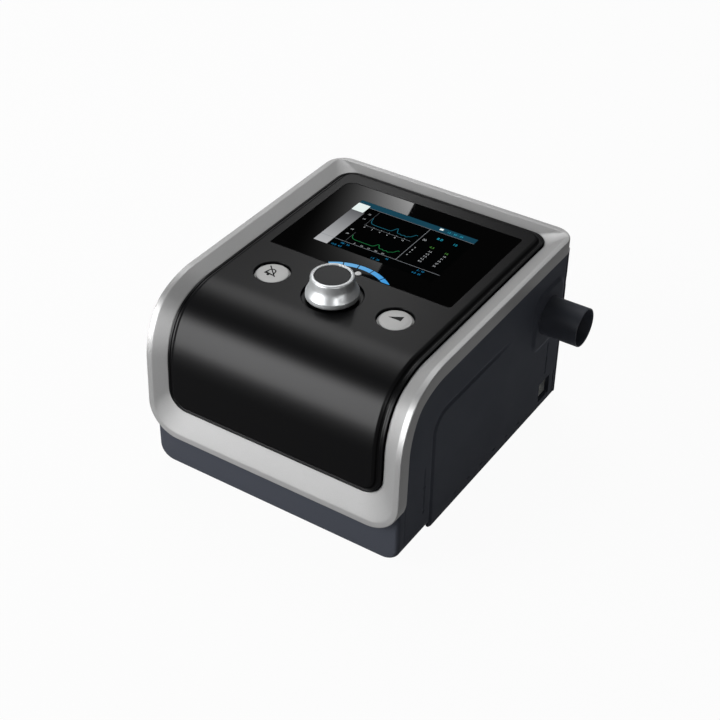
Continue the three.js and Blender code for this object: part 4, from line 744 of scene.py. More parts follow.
class MACHINE_OT_front_cover(bpy.types.Operator):
    """The black cover: rings from its edge over a rounded lip, a groove and a shoulder to the face"""
    bl_idname = "machine.front_cover"
    bl_label = "Front cover"

    def execute(self, context):
        mm = sizes()
        cover = outlines(mm)[2]
        border, face, foot = mm.cover_border, -mm.cover_drop, -6.3
        under = [(border, face - mm.cover_wall), (3.0, foot + 0.4), (1.5, foot), (0, foot)]
        edge = round_corners([(0, foot), (0, -2.75), (0.25, -2.5), (1.35, -2.45), (1.8, -3.0), (2.6, -3.05),
                              (3.3, -2.5), (3.9, -1.4), (border, face), (border + 1.5, face)],
                             [0.2, 0.2, 0.35, 0.3, 0.4, 0.5, 1.0, 1.6], 5)[1:]
        loops = [sheet(cover(inset), rise) for inset, rise in [*under, *edge]]
        piece = loops_piece("front_cover_skin", loops, ladder=True)
        through, slack = face - mm.cover_wall - 3, 0.25
        cutters = [
            deck_slab("recess", window_outline(mm, slack), -mm.window_thickness - 0.6, ABOVE, mm),
            deck_slab("screen_hole", screen_outline(mm, 2, 1), through, ABOVE, mm),
            deck_slab("arc_hole", arc_outline(slack), through, ABOVE, mm),
        ]
        for name, radius, low, spot, rim in (
            ("lamp_hole", 2.1, through, LENS_PLACE, 0.2),
            ("knob_well", mm.knob_well, -1.8, (0, 0), 0.6),
            ("shaft_hole", 4.6, through - 3, (0, 0), 0.1),
            ("left_hole", mm.button_hole, through, (-mm.button_spread, 0), 0.5),
            ("right_hole", mm.button_hole, through, (mm.button_spread, 0), 0.5),
        ):
            cutters.append(hole_cutter(name, radius, low, spot, mm, rim))
        cut(piece, cutters)
        dress(piece, "machine", black_cover_plastic(), "black_cover", "front_cover")
        return {"FINISHED"}


class MACHINE_OT_knob(bpy.types.Operator):
    """The knob: a turned bell with a rounded lip over a hollow flare, and the dark disc in its top"""
    bl_idname = "machine.knob"
    bl_label = "Knob"

    def execute(self, context):
        mm = sizes()
        top, seat = mm.knob_height, mm.knob_height - 2.2
        bell = round_corners([
            (0, top - 3.9), (11.6, top - 4.5), (13.9, 1.0), (14.4, -0.2), (15.0, -0.2), (15.5, 0.8),
            (15.3, 2.9), (14.2, 5.0), (12.95, 7.6), (12.65, 10.2), (12.45, top - 0.35), (10.9, top),
            (10.2, top - 0.35), (10.2, seat), (0, seat),
        ], [0, 0.4, 0.2, 0.25, 0.6, 1.5, 4, 8, 4, 1.8, 0.9, 0.3, 0.3], 6)
        dress(deck_turned("knob_bell", bell, 128, mm), "knob", knob_plating(), "knob_silver", "knob_shell")
        disc = round_corners([
            (0, seat + 0.2), (10.0, seat + 0.2), (10.0, top - 0.5), (9.3, top - 0.55), (0, top - 0.8),
        ], [0.1, 0.35, 0.6], 5)
        dress(deck_turned("knob_disc", disc, 128, mm), "knob", disc_plastic(), "knob_top", "knob_cap")
        return {"FINISHED"}


def stroke(points, width):
    """A flat stroke of a width along an open line, with square ends, as an outline."""
    points = np.asarray(points, dtype=float)
    ahead = np.gradient(points, axis=0)
    ahead /= np.linalg.norm(ahead, axis=1, keepdims=True)
    side = np.stack([-ahead[:, 1], ahead[:, 0]], axis=-1) * width / 2
    return np.concatenate([points + side, (points - side)[::-1]])


def bell_line():
    """A bell as one closed line: a dome, flared lips and a flat foot."""
    dome = arc_points((-1.0, 1.2), 2.1, 5, 175, 13)
    right, left = [(1.35, -0.9), (2.4, -1.9)], [(-4.4, -1.9), (-3.35, -0.9)]
    return np.concatenate([right, left, dome[::-1], right[:1]])


class MACHINE_OT_buttons(bpy.types.Operator):
    """The two buttons: crowned caps with a collar and a flange, and their printed symbols"""
    bl_idname = "machine.buttons"
    bl_label = "Buttons"

    def execute(self, context):
        mm = sizes()
        r = mm.button_radius
        profile = round_corners([
            (0, -4.25), (3.0, -4.25), (3.0, -3.9), (12.4, -3.9), (12.4, -2.7), (10.4, -2.7), (10.4, -2.0),
            (r, -1.9), (r, -1.0), (r - 3, -0.78), (0, -0.7),
        ], [0.1] * 7 + [0.55, 3], 5)
        ink_low, ink_high = -0.9, -0.66
        paint, ink = button_paint(), button_ink()
        marks = {
            "mute": [stroke(bell_line(), 0.75), arc_points((-1.2, -2.75), 0.85, 0, 340, 14),
                     stroke([(-5.0, 5.4), (3.4, -2.8)], 0.7)],
            "ramp": [np.array([(-4.8, 0.3), (3.1, 0.4), (2.8, 4.8)])],
        }
        for name, side in (("mute", -1), ("ramp", 1)):
            spot = (side * mm.button_spread, 0)
            cap = deck_turned(name + "_cap", profile, 96, mm, spot)
            dress(cap, name + "_key", paint, "button_silver", name + "_button")
            pieces = [deck_slab("mark", outline + spot, ink_low, ink_high, mm) for outline in marks[name]]
            dress(join(name + "_symbol", pieces), name + "_key", ink, "switch_black")
        return {"FINISHED"}


class MACHINE_OT_lights(bpy.types.Operator):
    """The light arc in five lengths, the dark baffles between them and the small lamp in front"""
    bl_idname = "machine.lights"
    bl_label = "Light arc and lamp"

    def execute(self, context):
        mm = sizes()
        guide = deck_slab("light_guide", arc_outline(0), -4, -0.02, mm, 0.25)
        cutters, baffles = [], []
        for angle in (-27.3, -10.6, 6.1, 22.8):
            turn = math.radians(90 + angle)
            along = np.array([math.cos(turn), math.sin(turn)])
            gap = stroke([along * (ARC_INNER - 2.2), along * (ARC_OUTER + 4.5)], 0.7)
            cutters.append(deck_slab("divider", gap, -5, 1, mm))
            filling = stroke([along * (ARC_INNER + 0.1), along * (ARC_OUTER - 0.1)], 0.6)
            baffles.append(deck_slab("baffle", filling, -4, -0.04, mm))
        cut(guide, cutters)
        dress(join("light_baffles", baffles), "machine", backed_acrylic(), "window_gloss")
        middle = float(ORIGIN[0])
        made = glow("blue light guide", linear("#4aaef8"), 0.8,
                    run=("X", middle - 0.014, middle + 0.022, hue("arc_left"), hue("arc_right")))
        dress(guide, "machine", made, "arc_light", "light_arc")
        dome = round_corners([(0, -4), (1.85, -4), (1.85, -0.05), (1.2, 0.12), (0, 0.15)], [0.1, 0.3, 0.5], 5)
        made = glow("white lamp lens", linear("#e6e6e6"), 0.35, 0.5)
        dress(deck_turned("lamp_lens", dome, 48, mm, LENS_PLACE), "machine", made, "lamp_lens", "status_lens")
        return {"FINISHED"}


# Screen

SCREEN_LEVEL = -0.07    # height of the screen's face


def flat_rectangle(x0, y0, x1, y1):
    """Corners of a rectangle, anticlockwise."""
    return np.array([(x0, y0), (x1, y0), (x1, y1), (x0, y1)], dtype=float)


def curve_line(x0, x1, base, start, peak, end):
    """A breathing curve over a flat base: it falls from its start by an exponential, has one narrow
    bell-shaped peak a little past the middle, and rises along a logistic curve at its end."""
    x = np.linspace(x0, x1, 110)
    middle = x0 + 0.57 * (x1 - x0)
    y = start * np.exp(-(x - x0) / 1.1) + peak * np.exp(-((x - middle) / 1.5) ** 2)
    y += end / (1 + np.exp(-(x - x1 + 2.4) * 1.6)) + 0.35 * np.sin(x * 2.1) * (x > middle + 3)
    return np.stack([x, base + y], axis=-1)


def text_piece(body, size, spot, level, mm, align="LEFT"):
    """Generic figures as a flat mesh on the screen."""
    data = bpy.data.curves.new("figures", "FONT")
    data.body = body
    data.size = size
    data.align_x = align
    data.resolution_u = 2
    source = link("figures", data)
    graph = bpy.context.evaluated_depsgraph_get()
    mesh = bpy.data.meshes.new_from_object(source.evaluated_get(graph))
    bpy.data.objects.remove(source)
    points = np.empty(len(mesh.vertices) * 3)
    mesh.vertices.foreach_get("co", points)
    points = points.reshape(-1, 3) + np.array([spot[0], spot[1], level])
    mesh.vertices.foreach_set("co", place(on_deck(points, mm)).ravel())
    mesh.update()
    return link("figures", mesh)


class MACHINE_OT_display(bpy.types.Operator):
    """The window's pane, the screen under it and what the screen shows"""
    bl_idname = "machine.display"
    bl_label = "Display"

    def execute(self, context):
        mm = sizes()
        thickness = mm.window_thickness
        through = -thickness - 1
        pane = deck_slab("window_pane", window_outline(mm, -0.05), -thickness, 0, mm, 0.2)
        pane.modifiers.clear()
        cut(pane, [deck_slab("pane_arc", arc_outline(0.2), through, 1, mm),
                   deck_slab("pane_screen", screen_outline(mm, 0), through, 1, mm),
                   hole_cutter("pane_lamp", 2.0, through, LENS_PLACE, mm, 0.1)])
        dress(pane, "machine", backed_acrylic(), "window_gloss", "display_window")
        glass = deck_slab("screen_glass", screen_outline(mm, -0.02), -thickness - 2.1, SCREEN_LEVEL, mm)
        dress(glass, "machine", screen_glass(), "screen", "screen_panel")
        self.readout(mm)
        return {"FINISHED"}

    def readout(self, mm):
        """Bars, curves and figures a hair above the screen's surface, grouped by colour."""
        left, right, front, rear = mm.screen_left, mm.screen_right, mm.screen_front, mm.screen_rear
        level = SCREEN_LEVEL + 0.012
        inks = {
            "bar": ("title bar teal", hue("title_bar")),
            "tab": ("tab white", linear("#e4eeec")),
            "side": ("side bar grey", linear("#76777a")),
            "rule": ("rule grey", linear("#7e8286")),
            "faint": ("axis grey", linear("#54575a")),
            "figure": ("figure white", linear("#b4b7b9")),
            "teal": ("curve teal", hue("upper_curve")),
            "green": ("curve green", hue("lower_curve")),
            "lime": ("figure green", linear("#4f8a3c")),
            "blue": ("figure blue", linear("#1f7fae")),
            "cyan": ("figure cyan", linear("#27a3bd")),
        }
        groups = {name: [] for name in inks}

        def patch(ink, outline, lift=0.0):
            points = np.column_stack([outline, np.full(len(outline), level + lift)])
            groups[ink].append(new_piece("patch", on_deck(points, mm), [range(len(outline))]))

        def line(ink, points, width, lift=0.02):
            patch(ink, stroke(points, width), lift)

        def words(ink, body, size, x, y, align="LEFT"):
            groups[ink].append(text_piece(body, size, (x, y), level + 0.03, mm, align))

        split, foot, title = 10.1, front + 7.8, rear - 5.1
        patch("bar", flat_rectangle(left, title, right, rear))
        patch("side", flat_rectangle(left, front, left + 9.4, rear - 12))
        patch("tab", rounded_box(left, rear - 12.2, left + 8.4, rear - 3.4, [0.7] * 4), 0.012)
        line("rule", [(left + 8.6, title - 0.3), (right, title - 0.3)], 0.26)
        line("rule", [(left, foot), (right, foot)], 0.3)
        line("rule", [(split, foot), (split, title)], 0.3)
        axis, start, stop, scale = -25.0, -24.6, 7.6, rear - 23.3
        line("faint", [(axis, rear - 23.5), (axis, title - 1)], 0.22)
        line("rule", [(axis, scale), (split - 3, scale)], 0.2)
        line("faint", [(axis, foot + 1.2), (axis, rear - 33)], 0.22)
        line("teal", curve_line(start, stop, rear - 20.3, 6.5, 4.6, 4.5), 0.42)
        line("green", curve_line(start, stop, foot + 4.5, 4.2, 3.4, 4.0), 0.42)
        small = 1.9
        for k in range(6):
            mark = -23.8 + 5.3 * k
            words("figure", str(2 * k), small, mark, rear - 25.8, "CENTER")
            line("figure", [(mark, scale), (mark, scale + 0.8)], 0.2)
        for k in range(5):
            words("figure", str(5 * (k + 1)), small, -18.9 + 4.9 * k, foot + 0.6, "CENTER")
        for x, y, body in ((-28.0, 82, "30"), (-28.0, 76, "15"), (-27.6, 62.6, "60"), (-27.6, 57.2, "30")):
            words("figure", body, small, x, y, "RIGHT")
        for x, y, body in ((-30.6, 43.0, "12.0  4.5"), (-26.0, 46.6, "08 : 30"), (-3.0, 42.9, "1.5  20"),
                           (4.6, 46.7, "16"), (24.6, 43.4, "6.0  25"), (26.0, 46.7, "2 : 10")):
            words("blue", body, 2.1, x, y)
        for ink, body, size, x, y in (
            ("figure", "20", 2.6, 11.9, 76.0), ("cyan", "8.0", 3.2, 18.6, 81.2),
            ("cyan", "12", 2.8, 29.6, 81.2), ("lime", "4.5", 2.6, 19.6, 71.2),
            ("lime", "16", 2.6, 30.2, 70.2),
        ):
            words(ink, body, size, x, y)
        for row in range(4):
            words("figure", str(9 - row), small, 12.4, 66.0 - 2.9 * row)
        for row in range(5):
            words("figure", f"{1.5 * row + 2:.1f}", small, 21.4, 67.0 - 2.9 * row)
            words("figure", str(18 + 3 * row), small, 31.2, 67.0 - 2.9 * row)
        patch("tab", rounded_box(14.6, title + 2.2, 17.0, title + 4.0, [0.3] * 4), 0.02)
        words("cyan", "12 : 30 : 05", 2.4, 20.0, title + 1.6)
        ends = [float(place(on_deck((0, y, 0), mm))[1]) for y in (front, rear - 12)]
        grey = ("Y", *ends, linear("#b2b3b5"), linear("#5c5d60"))
        for name, pieces in groups.items():
            label, base = inks[name]
            made = glow(label, base, 1.0, 0.05, grey if name == "side" else None)
            dress(join("readout_" + name, pieces), "machine", made, "screen")


# Housing

LOW_RADIUS = 8.0    # radius of the housing's lower edge in front
APRON_DEPTH, APRON_WALL = 6.0, 2.9
PANEL_FRONT, PANEL_TOP, PANEL_REAR = -58.6, 79.0, 34.0    # the line round the side's lower panel
SIDE_FACE = HOUSING_HALF + 0.01    # a shell's outer face, a hair over the CAD node's


def smooth_step(value):
    """Nought below nought, one above one, and a smooth S between."""
    t = np.clip(value, 0, 1)
    return t * t * (3 - 2 * t)


def apron_ring(height, inset, rear, wall):
    """The apron's plan at a height, from its left end round the front to its right end and back along its
    inner side. Near the floor its half width follows a quarter circle."""
    low = min(max(LOW_RADIUS - height, 0), LOW_RADIUS)
    half = HOUSING_HALF - inset - (LOW_RADIUS - math.sqrt(LOW_RADIUS ** 2 - low ** 2))
    shares = np.array([0.945, 0.92, 0.895, 0.87, 0.84, 0.81, 0.78, 0.75, 0.7, 0.3])
    shares = np.concatenate([-shares, shares[::-1]])

    def line(half, front, corner):
        straight = np.column_stack([shares * half, np.full(len(shares), front)])
        return np.concatenate([
            [(-half, rear)], arc_points((-half + corner, front + corner), corner, 180, 270, 9), straight,
            arc_points((half - corner, front + corner), corner, 270, 360, 9), [(half, rear)]])

    front = HOUSING_FRONT + inset
    return np.concatenate([line(half, front, 2.4), line(half - wall, front + wall, 0.6)[::-1]])


def apron_wall(top, rear):
    """The apron's wall: level behind the frame's lower bar, and drawn up at both ends by two smooth steps, so
    that it fills the frame's rounded corners from behind."""
    heights = list(LOW_RADIUS * (1 - np.cos(np.linspace(0, math.pi / 2, 10)))) + [top - 1]
    loops = []
    for height in heights:
        ring = apron_ring(height, 0, rear, APRON_WALL)
        loops.append(np.column_stack([ring, np.full(len(ring), height)]))
    for share, inset in ((0.5, 0), (0.98, 0), (1, 0.3)):
        ring = apron_ring(top, inset, rear, APRON_WALL - 2 * inset)
        reach = np.abs(ring[:, 0])
        rim = top + 12 * smooth_step((reach - 60) / 12) + 21 * smooth_step((reach - 75.5) / 3)
        loops.append(np.column_stack([ring, top - 1 + (rim - top + 1) * share]))
    return loops_piece("apron_wall", loops, ladder=True)


def side_plate(name, outline, near, far, edge=0.0, side=1):
    """A plate between two values of X, to the right or the left of the middle, whose outline lies in Y and Z.
    Its far face can have a rounded edge."""
    loops = slab_loops(outline, near, far, edge)[..., [2, 0, 1]]
    return loops_piece(name, loops * np.array([side, 1, 1]))


def side_box(name, y0, z0, y1, z1, near, far, radius):
    """A block with rounded corners that goes through a side wall."""
    return side_plate(name, rounded_box(y0, z0, y1, z1, [radius] * 4), near, far)


def valley(name, path, width, depth, side, ends=(0.0, 0.0)):
    """A cutter along a line of a side's face, whose floor falls by half a cosine from each edge to the
    middle. It grows shallow over the given lengths at its two ends."""
    path = np.asarray(path, dtype=float)
    steps = np.concatenate([[0], np.cumsum(np.linalg.norm(np.diff(path, axis=0), axis=1))])
    ahead = np.gradient(path, axis=0)
    ahead /= np.linalg.norm(ahead, axis=1, keepdims=True)
    across = np.stack([-ahead[:, 1], ahead[:, 0]], axis=-1)
    shares = np.linspace(-1, 1, 13)
    loops = []
    for at, middle, way in zip(steps, path, across):
        share = 1.0
        for run, end in ((at, ends[0]), (steps[-1] - at, ends[1])):
            if end:
                share *= float(smooth_step(run / end))
        floor = 0.03 - (depth * share + 0.03) * (1 + np.cos(math.pi * shares)) / 2
        flat = middle + way * shares[:, None] * width / 2
        rim = np.array([[side * 1.0, *(middle + way * s * width / 2)] for s in (1, -1)])
        ring = np.concatenate([np.column_stack([side * floor, flat]), rim])
        loops.append(ring + np.array([side * SIDE_FACE, 0, 0]))
    return loops_piece(name, loops)


def dimple(name, y, z, radius, depth):
    """A round cutter with a hollow floor, for a dot in the right side's face."""
    profile = [(0, -depth), (radius * 0.5, -depth * 0.85), (radius * 0.85, -depth * 0.4), (radius, 0.02),
               (radius, 1), (0, 1)]
    return lathe_piece(name, profile, 24,
                       lambda p: np.stack([SIDE_FACE + p[..., 2], y + p[..., 0], z + p[..., 1]], axis=-1))


def panel_line(side):
    """The valley that sets a side's lower panel off: up its front edge, round a corner and back."""
    radius = 14.0
    corner = arc_points((PANEL_FRONT + radius, PANEL_TOP - radius), radius, 180, 90, 16)
    rise = np.column_stack([np.full(12, PANEL_FRONT), np.linspace(-1.5, PANEL_TOP - radius - 1, 12)])
    run = np.column_stack([np.linspace(PANEL_FRONT + radius + 1, PANEL_REAR, 24), np.full(24, PANEL_TOP)])
    return valley("panel_line", np.concatenate([rise, corner, run]), 5.0, 0.95, side, (0, 45))


def lower_corner(side):
    """What the quarter circle of the front's lower corner leaves outside it, as far back as the panel's
    line."""
    middle, out = HOUSING_HALF - LOW_RADIUS, HOUSING_HALF + 2
    curve = arc_points((middle, LOW_RADIUS), LOW_RADIUS, -90, 0, 12)
    section = np.concatenate([curve, [(out, LOW_RADIUS), (out, -2), (middle, -2)]])
    loops = [np.column_stack([side * section[:, 0], np.full(len(section), y), section[:, 1]])
             for y in (HOUSING_FRONT - 2, PANEL_FRONT)]
    return loops_piece("lower_corner", loops)


def shell_blank(name, side, mm):
    """A side shell from its CAD node's copy, with its outer face made whole again under the frame's line,
    ready for finer features."""
    piece = link(name + "_skin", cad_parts[name].data.copy())
    finish_mesh(piece.data)
    box = node_box(name)
    front, rear = box[0][1], box[1][1]
    along = np.linspace(0, FRAME_REAR, 500)
    line = sheet(np.column_stack([np.zeros(len(along)), along]), -mm.frame_depth - 0.5)[:, 1:]
    line = line[(line[:, 0] > front + 0.01) & (line[:, 0] < rear - 0.01)]
    outline = np.concatenate([[(front, 0), (rear, 0)], line[::-1][::4]])
    plate = side_plate("plate", outline, HOUSING_HALF - 2.5, SIDE_FACE, 0.8, side)
    cut(piece, [plate], "UNION")
    piece.modifiers.clear()
    return piece


class MACHINE_OT_housing(bpy.types.Operator):
    """The front apron and the side shells as fine surfaces, the outlet, and the finish of the rest"""
    bl_idname = "machine.housing"
    bl_label = "Housing"

    def execute(self, context):
        mm = sizes()
        paint = housing_plastic()
        made = {"front_apron": self.apron(mm), "right_shell": self.right_shell(mm),
                "left_shell": self.left_shell(mm)}
        for name, piece in made.items():
            dress(piece, "machine", paint, "grey_housing", name)
        finish_nodes(["rear_panel", "base_tray", "filter_cover"], paint)
        dress(self.outlet(mm), "machine", cuff_plastic(paint), "grey_housing", "outlet_pipe")
        return {"FINISHED"}

    def apron(self, mm):
        """The apron's wall, and behind it a wedge that fills the space under the frame's slope."""
        top = float(sheet(np.array([0, mm.frame_low_edge * LOW_SHARE]), -mm.frame_depth)[2]) - 0.3
        rear = HOUSING_FRONT + APRON_DEPTH
        wall = apron_wall(top, rear)
        low, high, half = top - 3, 56.0, HOUSING_HALF - 2.6
        fronts = [float(sheet(np.array([0, height * LOW_SHARE]), -mm.frame_depth - 0.3)[1])
                  for height in (low, high)]
        section = [(fronts[0], low), (rear, low), (rear, high), (fronts[1], high)]
        wedge = loops_piece("apron_wedge", [[(x, y, z) for y, z in section] for x in (-half, half)])
        return join("front_apron_skin", [wall, wedge])

    def right_shell(self, mm):
        """The right shell: the panel's line, two guides with their dots, six small slots along the bottom,
        the port, the tag's slot and the raised pad that the outlet comes out of."""
        piece = shell_blank("right_shell", 1, mm)
        through, out = HOUSING_HALF - 5, SIDE_FACE + 2
        y, z = self.outlet_axis()
        rounds = []
        for share in np.linspace(0, 1, 9):
            grow = 4.0 * (1 - share)
            outline = rounded_box(y - 14.5 - grow, z - 18 - grow, y + 16 + grow, z + 17.5 + grow,
                                  [6 + grow] * 4)
            level = SIDE_FACE - 0.05 + 1.2 * float(smooth_step(share))
            rounds.append(np.column_stack([np.full(len(outline), level), outline]))
        rounds.insert(0, rounds[0] - np.array([1.5, 0, 0]))
        cut(piece, [loops_piece("pad", rounds)], "UNION")
        piece.modifiers.clear()
        cutters = [panel_line(1), lower_corner(1)]
        for at, low, high, dot in ((-66.5, 18.4, 51.3, 35.8), (77.8, 24.9, 49.0, 35.7)):
            line = np.column_stack([np.full(20, at), np.linspace(low, high, 20)])
            cutters.append(valley("guide", line, 1.8, 0.45, 1, (0, 3)))
            cutters += [dimple("dot", at, height, 1.4, 0.6) for height in (low, dot)]
        for k in range(6):
            at = -30.5 + 15.25 * k
            line = np.column_stack([np.linspace(at - 1.7, at + 1.7, 8), np.full(8, 6.0)])
            cutters.append(valley("slot", line, 1.6, 0.5, 1, (0.8, 0.8)))
        cutters.append(side_box("port", 71.3, 5, 84.9, 18.8, through, out, 0.6))
        cutters.append(side_box("tag", 89.85, 2.5, 90.95, 18.5, HOUSING_HALF - 1.3, out, 0.5))
        turn = arc_points((y, z), mm.outlet_radius + 0.25, 0, 360, 97)[:-1]
        cutters.append(side_plate("bore", turn, through, out + 2))
        return cut(piece, cutters)

    def left_shell(self, mm):
        """The left shell: the panel's line and the slot for the card."""
        piece = shell_blank("left_shell", -1, mm)
        (_, y0, z0), (_, y1, z1) = node_box("data_card")
        slot = side_box("card_slot", y0 - 0.4, z0 - 0.4, y1 + 0.4, z1 + 0.4, -SIDE_FACE - 2,
                        5 - HOUSING_HALF, 0.3)
        return cut(piece, [panel_line(-1), lower_corner(-1), slot])

    def outlet_axis(self):
        """Where the outlet's axis stands in Y and Z."""
        return node_box("outlet_pipe")[:, 1:].mean(axis=0)

    def outlet(self, mm):
        """The outlet's tube, with a flange inside the shell and a flared mouth."""
        near, end = node_box("outlet_pipe")[:, 0]
        y, z = self.outlet_axis()
        r, bore, flange, seat = mm.outlet_radius, mm.outlet_bore, 15, 78.8
        profile = round_corners([
            (bore, near), (r, near), (r, seat), (flange, seat), (flange, seat + 2), (r, seat + 2), (r, end),
            (r - 0.8, end), (bore, end - 13), (bore, near),
        ], [0.1, 0.1, 0.2, 0.2, 0.1, 0.5, 0.3, 6], 5)[:-1]
        return lathe_piece("outlet_tube", profile, 96,
                           lambda p: np.stack([p[..., 2], p[..., 0] + y, p[..., 1] + z], axis=-1), loop=True)


class MACHINE_OT_inner_finishes(bpy.types.Operator):
    """Materials of the pieces inside the housing and of the small fittings"""
    bl_idname = "machine.inner_finishes"
    bl_label = "Inner finishes"

    def execute(self, context):
        feet, screws, isolators = ([f"{name}_{number}" for number in range(1, count + 1)]
                                   for name, count in (("foot", 4), ("base_screw", 4), ("isolator", 3)))
        finish_nodes([*feet, *isolators, "duct_boot", "socket_plug"], soft_rubber())
        finish_nodes([*screws, "screen_backplate", "encoder_shaft", "encoder_body", "motor_shaft",
                      "motor_can", "card_socket", "heat_sink"], bare_steel())
        finish_nodes(["control_board", "main_board"], circuit_board())
        finish_nodes(["blower_lower", "blower_upper", "inlet_box"],
                     plain_plastic("ivory ABS", "#d8d6cd", 0.5))
        finish_nodes(["impeller", "flow_sensor", "link_socket"],
                     plain_plastic("pale grey nylon", "#b9bbb9", 0.45))
        finish_nodes(["mute_switch", "ramp_switch", "capacitor_1", "capacitor_2", "power_inlet", "data_card"],
                     plain_plastic("black nylon", "#161617", 0.45))
        finish_nodes(["filter_foam"], open_foam())
        return {"FINISHED"}


# Stage

# Each lamp: where it stands and what it faces in metres, its size, its power, and whether it lights surfaces
# or only adds gloss. The first three light the machine from the front left, from above on the left behind
# and low in front. The others lie as gloss on what the comments name.
LAMPS = {
    "key_lamp": ((-1.2, -1.02, 0.62), (0, 0, 0.07), (1.0, 0.8), 20, True),
    "top_lamp": ((-0.5, 0.62, 1.32), (0, 0, 0.07), (0.8, 0.8), 8.5, True),
    "low_lamp": ((-0.56, -1.16, 0.09), (0, 0, 0.05), (0.7, 0.16), 4.8, True),
    "bend_lamp": ((-0.72, -1.32, 0.61), (0, 0, 0.07), (1.4, 1.4), 330, False),  # the cover's bend
    "bar_lamp": ((-0.52, -1.2, 0.09), (0, -0.13, 0.04), (0.7, 0.14), 13, False),  # the frame's low bar
    "sky_lamp": ((-0.85, 0.7, 1.45), (0, 0, 0.1), (0.6, 0.6), 26, False),  # the deck
    "rear_lamp": ((0.05, 1.1, 1.3), (0, 0, 0.1), (0.5, 0.5), 6, False),  # the frame's left side
    "right_lamp": ((1.63, -0.44, 0.25), (0, 0, 0.12), (0.35, 0.6), 14, False),  # the right side
    "knob_lamp": ((0.96, -0.86, 0.61), (0, 0, 0.1), (0.22, 0.3), 16, False),  # the knob
}
STRIP_EDGE = ((-0.5290, 0.9692, 0.714), (-0.4625, 0.7398, 0.714))  # ends of the strip lamp's right edge
STRIP_RADIANCE = 330
FLOOR_WHITE = 0.955    # how much of the floor shows as plain white
CAMERA_SPOT = (383.0846, -598.9879, 577.5822)
CAMERA_AXES = ((0.83645257, 0.54792572, 0.01115852), (-0.33515557, 0.49532023, 0.80145406),
               (0.43361025, -0.67411815, 0.59795224))  # its right, up and back
CAMERA_LENS = 74.224


def stand(item, axes, spot):
    """Turns a lamp or the camera to its right, up and back, and moves it to its spot."""
    item.matrix_world = Matrix([(*row, at) for row, at in zip(np.transpose(axes), spot)] + [(0, 0, 0, 1)])
    return item


def seen_share(tree):
    """One where the camera, a reflection or glass looks, and nought for light."""
    path = add(tree, "ShaderNodeLightPath").outputs
    seen = add(tree, "ShaderNodeMath", {0: path["Is Camera Ray"], 1: path["Is Glossy Ray"]},
               operation="MAXIMUM")
    return add(tree, "ShaderNodeMath", {0: seen.outputs[0], 1: path["Is Transmission Ray"]},
               operation="MAXIMUM").outputs[0]


